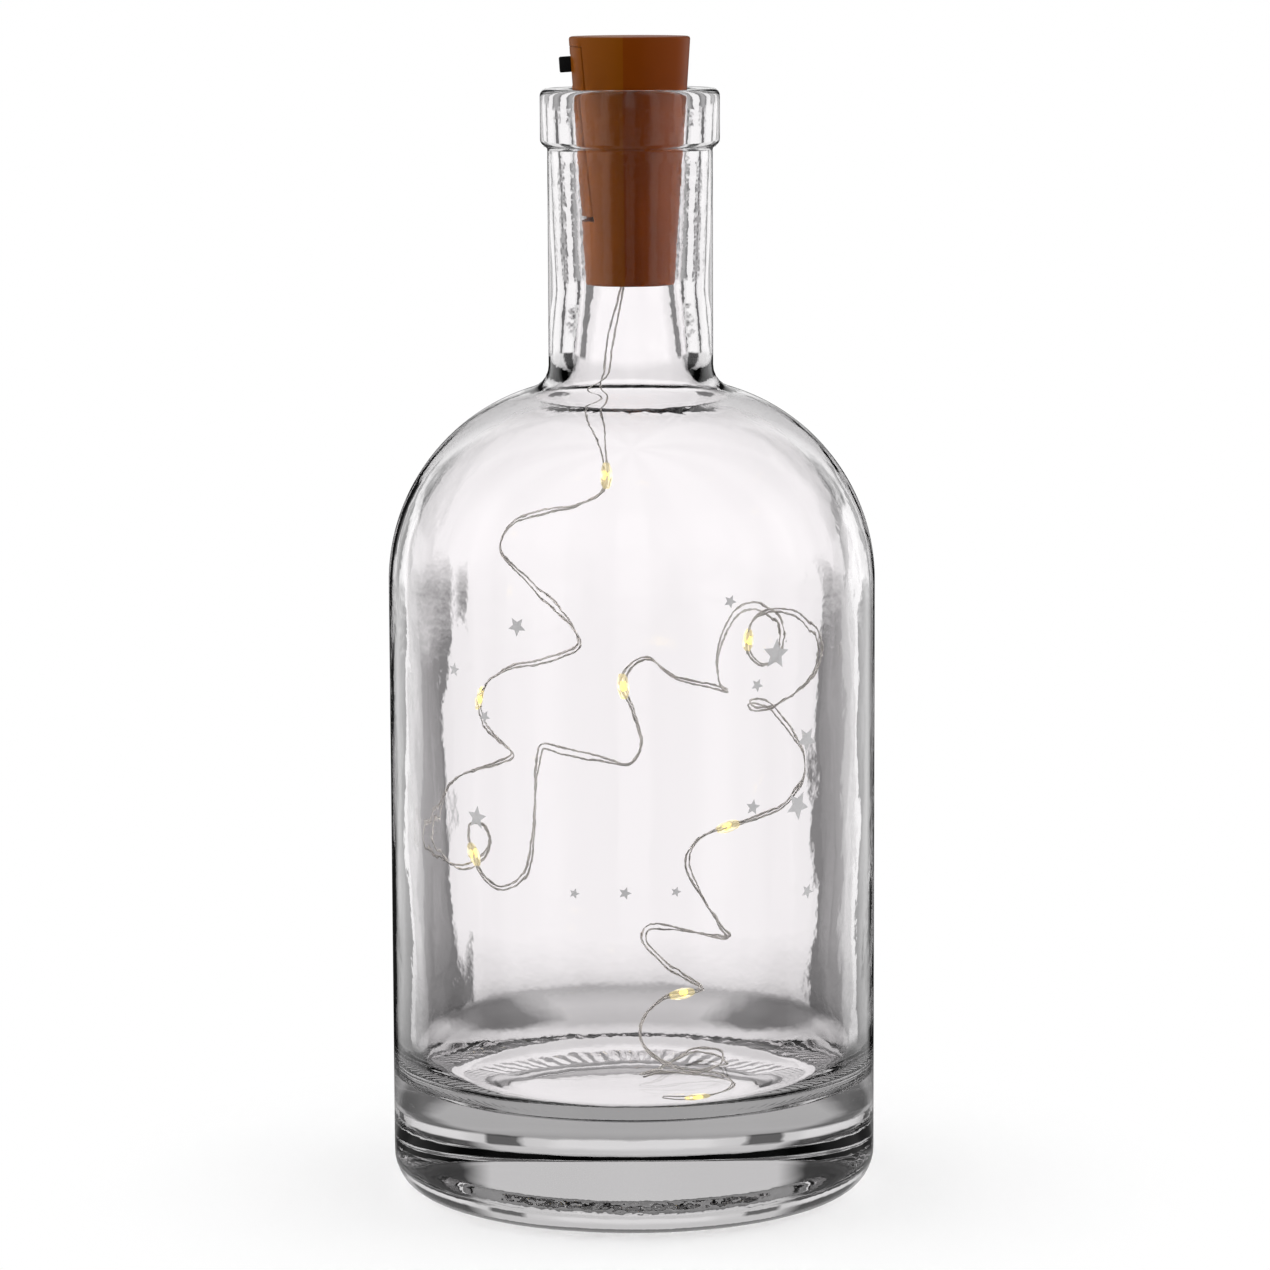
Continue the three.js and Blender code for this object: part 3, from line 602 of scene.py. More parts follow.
# %% Outside and inside
def outer_profile():
    """From the middle of the base up to the lip"""
    stand_out = BODY_RADIUS - HEEL_RADIUS
    stand_in = stand_out - STANDING_RING_WIDTH
    ring_foot = BOTTLE_HEIGHT - RING_HEIGHT
    edge = RING_RADIUS - RING_EDGE
    radius, height, angle = neck_round(NECK_RADIUS, NECK_FILLET, SHOULDER_RADIUS)
    return joined(
        [
            [(0, PUSH_UP_HEIGHT)],
            [(stand_in - PUSH_UP_SLOPE - SOFT_EDGE, PUSH_UP_HEIGHT)],
            [(stand_in - PUSH_UP_SLOPE + SOFT_EDGE, PUSH_UP_HEIGHT - SOFT_EDGE / 2)],
            [(stand_in - SOFT_EDGE, SOFT_EDGE / 2)],
            [(stand_in + SOFT_EDGE, 0)],
            arc(stand_out, HEEL_RADIUS, HEEL_RADIUS, -90, 0),
            arc(BODY_RADIUS - SHOULDER_RADIUS, SHOULDER_START, SHOULDER_RADIUS, 0, angle),
            arc(radius, height, NECK_FILLET, angle + 180, 180)[1:],
            arc(NECK_RADIUS + SOFT_EDGE, ring_foot - SOFT_EDGE, SOFT_EDGE, 180, 90),
            arc(edge, ring_foot + RING_EDGE, RING_EDGE, -90, 0),
            arc(edge, BOTTLE_HEIGHT - RING_EDGE, RING_EDGE, 0, 90),
        ]
    )


def inner_profile():
    """From the lip down to the middle of the floor"""
    shoulder = SHOULDER_RADIUS - WALL
    heel = BODY_RADIUS - WALL - INNER_HEEL_RADIUS
    radius, height, angle = neck_round(NECK_FOOT_BORE, NECK_FOOT_ROUND, shoulder)
    return joined(
        [
            arc(MOUTH_RADIUS + LIP_EDGE, BOTTLE_HEIGHT - LIP_EDGE, LIP_EDGE, 90, 180),
            [(THROAT_RADIUS, THROAT_HEIGHT)],
            arc(radius, height, NECK_FOOT_ROUND, 180, angle + 180),
            arc(BODY_RADIUS - SHOULDER_RADIUS, SHOULDER_START, shoulder, angle, 0)[1:],
            arc(heel, FLOOR_HEIGHT + INNER_HEEL_RADIUS, INNER_HEEL_RADIUS, 0, -90),
            [(0, FLOOR_HEIGHT)],
        ]
    )


outside = outer_profile()
inside = inner_profile()
profile = np.array(outside + inside)
print("Profile points:", len(outside), "outside and", len(inside), "inside")

# %% [markdown]
# Blown glass isn't quite regular. The wall grows thicker towards the foot, soft waves cross the inside and
# the underside, finer ripples show in the neck and the heel, and small ribs stand under the ring so that
# the hot bottle doesn't stick. Each gets a weight along the profile, which says how much of it there is at
# that height.

# %% Where the glass is uneven
FOOT_THICKENING = 0.7 * MM
FOOT_ZONE = (58 * MM, 26 * MM)
NECK_ZONE = (125 * MM, 155 * MM)
NECK_WAVE_SHARE = 0.45
BASE_WAVE_SHARE = 1.0
BODY_RIPPLE_SHARE = 0.28
HEEL_RIPPLE_SHARE = 0.8
CALM_LIP = 4 * MM
FLOOR_MIDDLE = (6 * MM, 9 * MM)
UNDER_TOP = HEEL_RADIUS + 1 * MM
UNDER_MIDDLE = (1 * MM, 6 * MM)
UNDER_EDGE = (BODY_RADIUS - 0.2 * MM, BODY_RADIUS - 2 * MM)
HEEL_ZONE = (30 * MM, 36 * MM)
RIB_ZONE = (4.2 * MM, 2.4 * MM)


def smooth_step(value, start, end):
    """0 up to the start and 1 from the end on, with a soft change between them"""
    share = np.clip((np.array(value) - start) / (end - start), 0, 1)
    return share * share * (3 - 2 * share)


radii, heights = profile.T
inner = np.arange(len(profile)) >= len(outside)
thicker = FOOT_THICKENING / (BODY_RADIUS - WALL) * smooth_step(heights, *FOOT_ZONE)
radii *= 1 - inner * thicker
in_neck = smooth_step(heights, *NECK_ZONE)
under = ~inner * (heights < UNDER_TOP)
wavy = inner * (1 - (1 - NECK_WAVE_SHARE) * in_neck)
wavy *= smooth_step(radii, *FLOOR_MIDDLE) * (heights < BOTTLE_HEIGHT - CALM_LIP)
wavy += BASE_WAVE_SHARE * under * smooth_step(radii, *UNDER_EDGE) * smooth_step(radii, *UNDER_MIDDLE)
rippled = inner * (BODY_RIPPLE_SHARE + (1 - BODY_RIPPLE_SHARE) * in_neck)
rippled += HEEL_RIPPLE_SHARE * under * smooth_step(radii, *HEEL_ZONE)
off_ring = abs(radii - (BODY_RADIUS - HEEL_RADIUS - STANDING_RING_WIDTH / 2))
ribbed = ~inner * (heights < HEEL_RADIUS) * smooth_step(off_ring, *RIB_ZONE)
print("Profile points with waves:", np.count_nonzero(wavy), "and with ribs:", np.count_nonzero(ribbed))

# %% [markdown]
# A screw modifier could turn the profile, but then it would be regular. The tree starts from a flat grid
# with one row for each point of the profile. Each point of the grid looks up its row's radius, height and
# weights.


# %% Tree, first part: a grid that knows the profile
def read_profile(tree, given):
    """The grid, and at each of its points the angle round the axis, the profile's point and its weights"""
    columns = add(tree, "ShaderNodeMath", {0: given["Steps Around"], 1: 1.0}, operation="ADD")
    sizes = {"Size X": 1.0, "Size Y": 1.0, "Vertices X": columns, "Vertices Y": given["Rows"]}
    grid = add(tree, "GeometryNodeMeshGrid", sizes, "Mesh")
    place = add(tree, "GeometryNodeInputPosition")
    parts = add(tree, "ShaderNodeSeparateXYZ", {0: place}).node.outputs
    angle = add(tree, "ShaderNodeMath", {0: parts["X"], 1: math.tau}, operation="MULTIPLY")
    share = add(tree, "ShaderNodeMath", {0: parts["Y"], 1: 0.5}, operation="ADD")
    spans = add(tree, "ShaderNodeMath", {0: given["Rows"], 1: 1.0}, operation="SUBTRACT")
    row = add(tree, "ShaderNodeMath", {0: share, 1: spans}, operation="MULTIPLY")
    row = add(tree, "ShaderNodeMath", {0: row}, operation="ROUND")
    wanted = {"Geometry": given["Geometry"], "Value": place, "Index": row}
    spot = add(tree, "GeometryNodeSampleIndex", wanted, data_type="FLOAT_VECTOR")
    spot = add(tree, "ShaderNodeSeparateXYZ", {0: spot}).node.outputs
    weights = {}
    for label in ("wavy", "ribbed", "rippled"):
        wanted["Value"] = add(tree, "GeometryNodeInputNamedAttribute", {"Name": label}, data_type="FLOAT")
        weights[label] = add(tree, "GeometryNodeSampleIndex", wanted, data_type="FLOAT")
    return grid, angle, spot, weights


# %% [markdown]
# Then each point is moved in or out by the waves and up by the ribs, turned round the axis by its angle,
# and the two ends of the grid are merged. The ripples are too fine for the mesh, so their weight goes on to
# the material.


# %% Tree, second part: waves, ribs and the turn
MERGE_DISTANCE = 0.001 * MM


def bottle_tree():
    tree, given = start_tree(
        "Blown bottle",
        {
            "Rows": "Int",
            "Steps Around": "Int",
            "Wave Depth": "Float",
            "Wave Scale": "Float",
            "Wave Stretch": "Float",
            "Ribs": "Int",
            "Rib Depth": "Float",
            "Material": "Material",
        },
    )
    grid, angle, spot, weights = read_profile(tree, given)
    cosine = add(tree, "ShaderNodeMath", {0: angle}, operation="COSINE")
    sine = add(tree, "ShaderNodeMath", {0: angle}, operation="SINE")
    across = add(tree, "ShaderNodeMath", {0: spot["X"], 1: cosine}, operation="MULTIPLY")
    away = add(tree, "ShaderNodeMath", {0: spot["X"], 1: sine}, operation="MULTIPLY")
    up = add(tree, "ShaderNodeMath", {0: spot["Z"], 1: given["Wave Stretch"]}, operation="MULTIPLY")
    waves = {"Scale": given["Wave Scale"], "Detail": 3.0, "Roughness": 0.5}
    waves["Vector"] = add(tree, "ShaderNodeCombineXYZ", {"X": across, "Y": away, "Z": up})
    wave = add(tree, "ShaderNodeTexNoise", waves, "Fac")
    wave = add(tree, "ShaderNodeMath", {0: wave, 1: 0.5}, operation="SUBTRACT")
    depth = add(tree, "ShaderNodeMath", {0: weights["wavy"], 1: given["Wave Depth"]}, operation="MULTIPLY")
    radius = add(tree, "ShaderNodeMath", {0: wave, 1: depth, 2: spot["X"]}, operation="MULTIPLY_ADD")
    phase = add(tree, "ShaderNodeMath", {0: angle, 1: given["Ribs"]}, operation="MULTIPLY")
    rib = add(tree, "ShaderNodeMath", {0: phase}, operation="COSINE")
    rib = add(tree, "ShaderNodeMath", {0: rib, 1: -0.5, 2: 0.5}, operation="MULTIPLY_ADD")
    rise = add(tree, "ShaderNodeMath", {0: weights["ribbed"], 1: given["Rib Depth"]}, operation="MULTIPLY")
    height = add(tree, "ShaderNodeMath", {0: rib, 1: rise, 2: spot["Z"]}, operation="MULTIPLY_ADD")
    x = add(tree, "ShaderNodeMath", {0: radius, 1: cosine}, operation="MULTIPLY")
    y = add(tree, "ShaderNodeMath", {0: radius, 1: sine}, operation="MULTIPLY")
    turned = add(tree, "ShaderNodeCombineXYZ", {"X": x, "Y": y, "Z": height})
    mark = {"Geometry": grid, "Name": "rippled", "Value": weights["rippled"]}
    marked = add(tree, "GeometryNodeStoreNamedAttribute", mark, data_type="FLOAT", domain="POINT")
    wall = add(tree, "GeometryNodeSetPosition", {"Geometry": marked, "Position": turned})
    closed = add(tree, "GeometryNodeMergeByDistance", {"Geometry": wall, "Distance": MERGE_DISTANCE})
    smooth = add(tree, "GeometryNodeSetShadeSmooth", {"Geometry": closed})
    end_tree(tree, smooth, given["Material"])
    return tree


# %% [markdown]
# The glass is flint glass, blown into a mould: clear and almost free of colour. Its thickness shows at the
# edges, where the dark and bright parts of the room are squeezed into thin lines. A surface shader alone
# would leave the thick base as bright as the wall, so a little light is also lost inside, along the way
# through the glass.

# %% Material of the glass
GLASS_GLOSS = 0.35
RIPPLE_SIZE = 2.4
RIPPLE_DEPTH = 0.05 * MM
LIGHT_THROUGH_BASE = 0.68


def flint_glass():
    # Gives the eye clear, polished glass, grey in its thick base, with unsteady lines where it ripples
    material, tree, shader = start_material(
        "Flint glass, blown",
        {
            "Base Color": linear("FFFDFE"),
            "Transmission Weight": 1.0,
            "IOR": 1.51,
            "Specular Tint": (GLASS_GLOSS, GLASS_GLOSS, GLASS_GLOSS, 1),
            "Roughness": 0.0,
        },
    )
    place = add(tree, "ShaderNodeTexCoord", out="Object")
    noise = {"Vector": place, "Scale": per(RIPPLE_SIZE), "Detail": 2.0}
    ripple = add(tree, "ShaderNodeTexNoise", noise, "Fac")
    share = add(tree, "ShaderNodeAttribute", out="Fac", attribute_name="rippled")
    height = add(tree, "ShaderNodeMath", {0: ripple, 1: share}, operation="MULTIPLY")
    bump = add(tree, "ShaderNodeBump", {"Height": height, "Strength": 1.0, "Distance": RIPPLE_DEPTH})
    tree.links.new(bump, shader.inputs["Normal"])
    loss = -math.log(LIGHT_THROUGH_BASE) / (2 * BODY_RADIUS)
    body = add(tree, "ShaderNodeVolumeAbsorption", {"Color": (0, 0, 0, 1), "Density": loss})
    tree.links.new(body, tree.nodes["Material Output"].inputs["Volume"])
    return material


# %% [markdown]
# With profile, weights, tree and material ready, the bottle can be blown. The mesh needs many steps around,
# because each flat facet of clear glass would show as a stripe.

# %% The bottle
STEPS_AROUND = 320
WAVE_DEPTH = 0.4 * MM
WAVE_WIDTH = 16
WAVE_STRETCH = 0.45
RIB_COUNT = 80
RIB_DEPTH = 0.45 * MM

glass_base = base_mesh(
    "glass",
    [(radius, 0, height) for radius, height in profile],
    [(i, i + 1) for i in range(len(profile) - 1)],
    wavy=wavy,
    ribbed=ribbed,
    rippled=rippled,
)
bottle = grow(
    "blown_bottle",
    glass_base,
    bottle_tree(),
    {
        "Rows": len(profile),
        "Steps Around": STEPS_AROUND,
        "Wave Depth": WAVE_DEPTH,
        "Wave Scale": per(WAVE_WIDTH),
        "Wave Stretch": WAVE_STRETCH,
        "Ribs": RIB_COUNT,
        "Rib Depth": RIB_DEPTH,
        "Material": flint_glass(),
    },
)
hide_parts("glass_bottle")
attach(bottle, "bottle")

# %% [markdown]
# ## Etched stars
# Small five-pointed stars are etched into the front of the glass: matt, and greyer than the clear glass
# round them. They could be painted by a mask in the glass's material, but thin pieces keep their sharp
# outline in every export. Each star has its place across and up, its width and its turn, in millimetres
# and degrees.

# %% Places of the stars
STARS = [
    (-19.3, 101.1, 3.3, 20), (-32.3, 93.0, 2.4, -10), (-25.7, 85.9, 2.3, 15), (-27.5, 69.0, 4.0, -12),
    (16.3, 105.2, 2.3, 8), (24.9, 96.0, 5.2, -12), (21.2, 91.2, 2.3, 12), (31.5, 81.3, 4.4, 20),
    (20.4, 71.2, 2.7, -8), (29.5, 70.6, 5.0, 14), (-9.6, 57.8, 1.8, 0), (-1.3, 58.0, 2.2, 0),
    (7.0, 58.1, 1.8, 0), (31.7, 56.0, 2.6, 10),
]
star_across, star_up, star_width, star_turn = np.array(STARS).T
zeros = np.zeros(len(STARS))
star_places = np.column_stack([star_across, zeros, star_up]) * MM
star_turns = np.column_stack([zeros + math.pi / 2, np.radians(star_turn), zeros])
print("Stars:", len(STARS), "from", star_width.min(), "to", star_width.max(), "mm wide")

# %% [markdown]
# A star could be modelled once and bent to the glass by hand. The tree draws one at each place on a flat
# sheet, bends the whole sheet round the bottle and then gives it a thickness.

# %% Tree of the stars
STAR_FINENESS = 2


def stars_tree():
    tree, given = start_tree(
        "Stars round a cylinder",
        {
            "Points": "Int",
            "Waist": "Float",
            "Radius": "Float",
            "Lift": "Float",
            "Thickness": "Float",
            "Material": "Material",
        },
    )
    star = {"Points": given["Points"], "Inner Radius": given["Waist"], "Outer Radius": 1.0, "Twist": 0.0}
    outline = add(tree, "GeometryNodeCurveStar", star, "Curve")
    flat = add(tree, "GeometryNodeFillCurve", {"Curve": outline})
    fine = add(tree, "GeometryNodeSubdivideMesh", {"Mesh": flat, "Level": STAR_FINENESS})
    size = add(tree, "GeometryNodeInputNamedAttribute", {"Name": "size"}, data_type="FLOAT")
    turn = add(tree, "GeometryNodeInputNamedAttribute", {"Name": "turn"}, data_type="FLOAT_VECTOR")
    spread = {"Points": given["Geometry"], "Instance": fine, "Rotation": turn, "Scale": size}
    copies = add(tree, "GeometryNodeInstanceOnPoints", spread)
    sheet = add(tree, "GeometryNodeRealizeInstances", {"Geometry": copies})
    place = add(tree, "GeometryNodeInputPosition")
    parts = add(tree, "ShaderNodeSeparateXYZ", {0: place}).node.outputs
    angle = add(tree, "ShaderNodeMath", {0: parts["X"], 1: given["Radius"]}, operation="DIVIDE")
    sine = add(tree, "ShaderNodeMath", {0: angle}, operation="SINE")
    cosine = add(tree, "ShaderNodeMath", {0: angle}, operation="COSINE")
    outer = add(tree, "ShaderNodeMath", {0: given["Radius"], 1: given["Lift"]}, operation="ADD")
    x = add(tree, "ShaderNodeMath", {0: outer, 1: sine}, operation="MULTIPLY")
    y = add(tree, "ShaderNodeMath", {0: outer, 1: cosine}, operation="MULTIPLY")
    y = add(tree, "ShaderNodeMath", {0: y, 1: -1.0}, operation="MULTIPLY")
    bent = add(tree, "ShaderNodeCombineXYZ", {"X": x, "Y": y, "Z": parts["Z"]})
    bent_sheet = add(tree, "GeometryNodeSetPosition", {"Geometry": sheet, "Position": bent})
    raising = {"Mesh": bent_sheet, "Offset Scale": given["Thickness"], "Individual": False}
    both = tree.nodes.new("GeometryNodeJoinGeometry")
    tree.links.new(add(tree, "GeometryNodeExtrudeMesh", raising, "Mesh"), both.inputs[0])
    tree.links.new(add(tree, "GeometryNodeFlipFaces", {"Mesh": bent_sheet}), both.inputs[0])
    merging = {"Geometry": both.outputs[0], "Distance": MERGE_DISTANCE}
    closed = add(tree, "GeometryNodeMergeByDistance", merging)
    end_tree(tree, closed, given["Material"])
    return tree


# %% [markdown]
# Etching leaves the glass frosted. Real frosted glass scatters what lies behind it, which takes many
# samples to render clean. A pale, half-clear matt skin gives much the same look with few.

# %% The stars
STAR_POINTS = 5
STAR_WAIST = 0.46
# The real grain is finer than a tenth of this, and is drawn as coarse as it needs to show
FROST_GRAIN = 0.35

# Gives the eye matt, pale grey marks with the clear glass faintly showing through them
etched_glass = spotted_finish(
    "Etched glass, frosted", FROST_GRAIN, "B6B5B6", "D2D1D2", {"Roughness": 0.85, "Alpha": 0.72}
)
stars = grow(
    "etched_stars",
    base_mesh("stars", star_places, [], size=star_width / 2 * MM, turn=star_turns),
    stars_tree(),
    {
        "Points": STAR_POINTS,
        "Waist": STAR_WAIST,
        "Radius": BODY_RADIUS,
        "Lift": ETCH_LIFT,
        "Thickness": ETCH_THICKNESS,
        "Material": etched_glass,
    },
)
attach(stars, "bottle")

# %% [markdown]
# ## The stopper
# A moulded shell of brown ABS, a battery cover on the switch side and a small black knob. They could be
# built again from arcs and lines, but their shapes are right in the CAD model, and only its round faces are
# flat facets. So a copy of each node is merged and shaded smooth, and its edges get a small bevel.

# %% Moulded copies of the CAD nodes
WELD_DISTANCE = 0.002 * MM
BEVEL_STEPS = 2
BEVEL_ANGLE = math.radians(50)
SHARP_ANGLE = math.radians(48)


def moulded_copy(name, node, body, bevel, material):
    """A smooth copy of a CAD node, with softened edges"""
    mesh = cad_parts[node].data.copy()
    piece = bpy.data.objects.new(name, mesh)
    scene.collection.objects.link(piece)
    weld = piece.modifiers.new("weld", "WELD")
    weld.merge_threshold = WELD_DISTANCE
    soften = piece.modifiers.new("soften", "BEVEL")
    soften.width = bevel
    soften.segments = BEVEL_STEPS
    soften.limit_method = "ANGLE"
    soften.angle_limit = BEVEL_ANGLE
    graph = bpy.context.evaluated_depsgraph_get()
    made = bpy.data.meshes.new_from_object(piece.evaluated_get(graph), depsgraph=graph)
    piece.modifiers.clear()
    piece.data = made
    made.name = name
    made.shade_smooth()
    made.set_sharp_from_angle(angle=SHARP_ANGLE)
    made.materials.clear()
    made.materials.append(material)
    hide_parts(node)
    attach(piece, body)
    print(name, "has", len(made.polygons), "faces")
    return piece


# %% [markdown]
# The cover is a separate panel. It sits slightly high, so that a gap shows under it and almost none over
# it. Moving the whole piece would move the knob's slot too. So the lower edge is drawn up, less and less
# towards the slot, and the rim is lifted a little.

# %% Seat of the cover
COVER_FOOT = 164.5 * MM
COVER_MIDDLE = 185 * MM
COVER_RIM = 192.6 * MM
COVER_FOOT_RISE = 0.6 * MM
COVER_TOP_RISE = 0.22 * MM


def seat_cover(mesh):
    """Opens the gap under the panel and closes the one over it. The knob's slot between them stays"""
    for vertex in mesh.vertices:
        height = vertex.co.z
        if height > COVER_FOOT:
            low = max(0, (COVER_MIDDLE - height) / (COVER_MIDDLE - COVER_FOOT))
            vertex.co.z += COVER_FOOT_RISE * low + COVER_TOP_RISE * (height > COVER_RIM)
    print("Cover raised by up to", round(COVER_FOOT_RISE / MM, 2), "mm at its foot")


# %% [markdown]
# The shell is coloured plastic with a satin face from the mould. The mould has two halves, and the plastic
# came out a little darker on one side of the line where they met. A wood texture would look like real cork,
# which it isn't.

# %% Material of the stopper
SEAM_HEADING = math.radians(-6.4)
FLOW_SIZE = 12
# The real grain of the mould is finer, and is drawn as coarse as it needs to show
MOULD_GRAIN = 0.5
GRAIN_DEPTH = 0.05 * MM


def cork_brown_abs():
    # Gives the eye a warm, even brown with a soft sheen, and a line down the front where the shade changes
    looks = {"Roughness": 0.4, "Specular IOR Level": 0.05}
    material, tree, shader = start_material("ABS, moulded, cork brown", looks)
    left = shades(tree, FLOW_SIZE, "713900", "794003", detail=3.0)
    right = shades(tree, FLOW_SIZE, "692D00", "713200", detail=3.0)
    seam = Vector((math.cos(SEAM_HEADING), math.sin(SEAM_HEADING), 0))
    place = add(tree, "ShaderNodeTexCoord", out="Object")
    side = add(tree, "ShaderNodeVectorMath", {0: place, 1: seam}, "Value", operation="DOT_PRODUCT")
    side = add(tree, "ShaderNodeMath", {0: side, 1: 0.0}, operation="GREATER_THAN")
    halves = {"Factor": side, "A": left, "B": right}
    colour = add(tree, "ShaderNodeMix", halves, "Result", data_type="RGBA")
    tree.links.new(colour, shader.inputs["Base Color"])
    noise = {"Vector": place, "Scale": per(MOULD_GRAIN), "Detail": 2.0}
    grain = add(tree, "ShaderNodeTexNoise", noise, "Fac")
    bump = add(tree, "ShaderNodeBump", {"Height": grain, "Strength": 0.04, "Distance": GRAIN_DEPTH})
    tree.links.new(bump, shader.inputs["Normal"])
    return material


# %% [markdown]
# The knob is black plastic from another mould. It is small, so its bevel is wide for its size: without it
# the knob would look like a block.

# %% Shell, cover and knob
HOUSING_BEVEL = 0.12 * MM
COVER_BEVEL = 0.1 * MM
KNOB_BEVEL = 0.2 * MM
KNOB_GRAIN = 0.4

brown = cork_brown_abs()
# Gives the eye a deep black with hardly any shine. The real grain is finer, and is drawn to show
black = spotted_finish(
    "ABS, moulded, black", KNOB_GRAIN, "060606", "101010", {"Roughness": 0.5, "Specular IOR Level": 0.1}
)
moulded_copy("stopper_shell", "stopper_housing", "stopper", HOUSING_BEVEL, brown)
cover = moulded_copy("cover_shell", "battery_cover", "stopper", COVER_BEVEL, brown)
seat_cover(cover.data)
moulded_copy("knob", "switch_knob", "switch", KNOB_BEVEL, black)

# %% [markdown]
# ## Inside the stopper
# Cells, contacts, board, switch body, resistor and lead wire stay as the CAD made them. Hardly anything of
# them can be seen from outside, so a plain finish for each is enough. Their grain is drawn coarser than it
# is, so that it shows at all.

# %% Finishes of the inner pieces
BRIGHT = {"Metallic": 1.0, "Roughness": 0.28}
SHINY = {"Metallic": 1.0, "Roughness": 0.32}
SATIN = {"Roughness": 0.45}
MATT = {"Roughness": 0.6}
METAL_GRAIN = 0.8
BOARD_GRAIN = 0.6
COAT_GRAIN = 0.4

finishes = {
    # Gives the eye bright, slightly blurred silver
    "button_cell": spotted_finish("Nickel-plated steel", METAL_GRAIN, "A8A9AB", "C9CACC", BRIGHT),
    # Gives the eye a soft gold
    "contact": spotted_finish("Phosphor bronze strip", METAL_GRAIN, "B98F3C", "D6B05C", SHINY),
    # Gives the eye a dull green
    "circuit_board": spotted_finish(
        "Solder mask on glass-fibre board", BOARD_GRAIN, "1B5232", "24663F", SATIN
    ),
    "switch_case": black,
    # Gives the eye a matt, nearly black chip
    "resistor": spotted_finish("Alumina with a black coat", COAT_GRAIN, "1C1E23", "2B2D33", MATT),
    "lead_wire": tinned_wire,
}
for node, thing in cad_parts.items():
    for start, finish in finishes.items():
        if node.startswith(start):
            thing.data.materials.clear()
            thing.data.materials.append(finish)
            print(node, "is", finish.name)

# %% [markdown]
# ## Room
# Glass has no colour of its own: it shows the room. A bottle is photographed against a lit white panel in
# a darker room, so its middle is bright and its edges are drawn in dark lines. Real panels could stand
# round the bottle, but they would show in the picture. Here they are painted on the world, at even steps
# all round, and only rays that came through glass or off a gloss see them. The camera sees plain white.
# Below the horizon the panels are narrow, at the horizon they are wide, and higher up only four are left,
# dimmer towards the ceiling.

# %% What glass shows of the room
PANEL_STEP = math.radians(45)
SOFTBOX_STEP = math.radians(90)
LOW_PANELS = [(0.0, 0.97), (0.35, 0.95), (0.39, 0.22), (0.5, 0.24), (0.7, 0.38), (1.0, 0.46)]
HIGH_PANELS = [(0.0, 1.03), (0.5, 1.03), (0.64, 0.9), (0.8, 0.86), (0.86, 0.16), (1.0, 0.16)]
UPPER_PANELS = [(0.0, 1.05), (0.58, 1.0), (0.74, 0.08), (1.0, 0.06)]
UPPER_ROOM = [
    (0.0, 1.0), (0.55, 1.0), (0.59, 0.8), (0.625, 0.78), (0.66, 0.8), (0.735, 0.75), (0.79, 0.5),
    (0.835, 0.2),
]
LOW_EDGE = -0.14
HIGH_EDGE = -0.1
MIDDLE_EDGE = 0.12
UPPER_EDGE = 0.17


def off_middle(tree, heading, step):
    """How far a heading is from the middle of the nearest panel: 0 there, and 1 halfway to the next"""
    off = add(tree, "ShaderNodeMath", {0: heading, 1: step / 2}, operation="PINGPONG")
    return add(tree, "ShaderNodeMath", {0: off, 1: step / 2}, operation="DIVIDE")


def seen_through_glass(tree, height, heading):
    """Panels in three tiers, one above the other, and darker towards the ceiling"""
    off_panel = off_middle(tree, heading, PANEL_STEP)
    off_box = off_middle(tree, heading, SOFTBOX_STEP)
    tiers = [
        (LOW_EDGE, HIGH_EDGE, off_panel, HIGH_PANELS),
        (MIDDLE_EDGE, UPPER_EDGE, off_box, UPPER_PANELS),
    ]
    panels = add(tree, "ShaderNodeValToRGB", {"Fac": off_panel}, stops=LOW_PANELS)
    for low, high, off, stops in tiers:
        share = add(tree, "ShaderNodeMapRange", {"Value": height, "From Min": low, "From Max": high})
        tier = add(tree, "ShaderNodeValToRGB", {"Fac": off}, stops=stops)
        change = {"Factor": share, "A": panels, "B": tier}
        panels = add(tree, "ShaderNodeMix", change, "Result", data_type="RGBA")
    rise = add(tree, "ShaderNodeMath", {0: height, 1: 0.5, 2: 0.5}, operation="MULTIPLY_ADD")
    dimmer = add(tree, "ShaderNodeValToRGB", {"Fac": rise}, stops=UPPER_ROOM)
    return add(tree, "ShaderNodeVectorMath", {0: panels, 1: dimmer}, operation="MULTIPLY")


# %% [markdown]
# A glossy face mirrors something else: softboxes between the four upper panels, and above the horizon also
# a narrow bright strip in the middle of each side. They draw the light streaks on the wall and along the
# shoulder. Lamps could do that too, but a lamp would also throw hard shadows.

# %% What a glossy face mirrors
SOFTBOXES = [(0.0, 0.02), (0.5, 0.02), (0.7, 1.3), (1.0, 1.3)]
HIGH_SOFTBOXES = [(0.0, 1.0), (0.12, 1.0), (0.24, 0.02), (0.5, 0.02), (0.7, 1.3), (1.0, 1.3)]
MIRROR_EDGE = 0.03


def seen_in_gloss(tree, height, heading):
    off_box = off_middle(tree, heading, SOFTBOX_STEP)
    low = add(tree, "ShaderNodeValToRGB", {"Fac": off_box}, stops=SOFTBOXES)
    high = add(tree, "ShaderNodeValToRGB", {"Fac": off_box}, stops=HIGH_SOFTBOXES)
    above = add(tree, "ShaderNodeMapRange", {"Value": height, "From Max": MIRROR_EDGE})
    return add(tree, "ShaderNodeMix", {"Factor": above, "A": low, "B": high}, "Result", data_type="RGBA")


# %% [markdown]
# All else is lit by plain white, more from the left and right than from front and back, so that round
# pieces look round. Light reaches a matt piece behind the glass only through the wall, where the dark parts
# of the room take most of it away. So for such a piece the world gives more, again from both sides.

# %% World
SIDE_LIGHT = 0.8
INSIDE_LIGHT = 9.0
INSIDE_FOCUS = 4.0
WHITE = (1, 1, 1, 1)


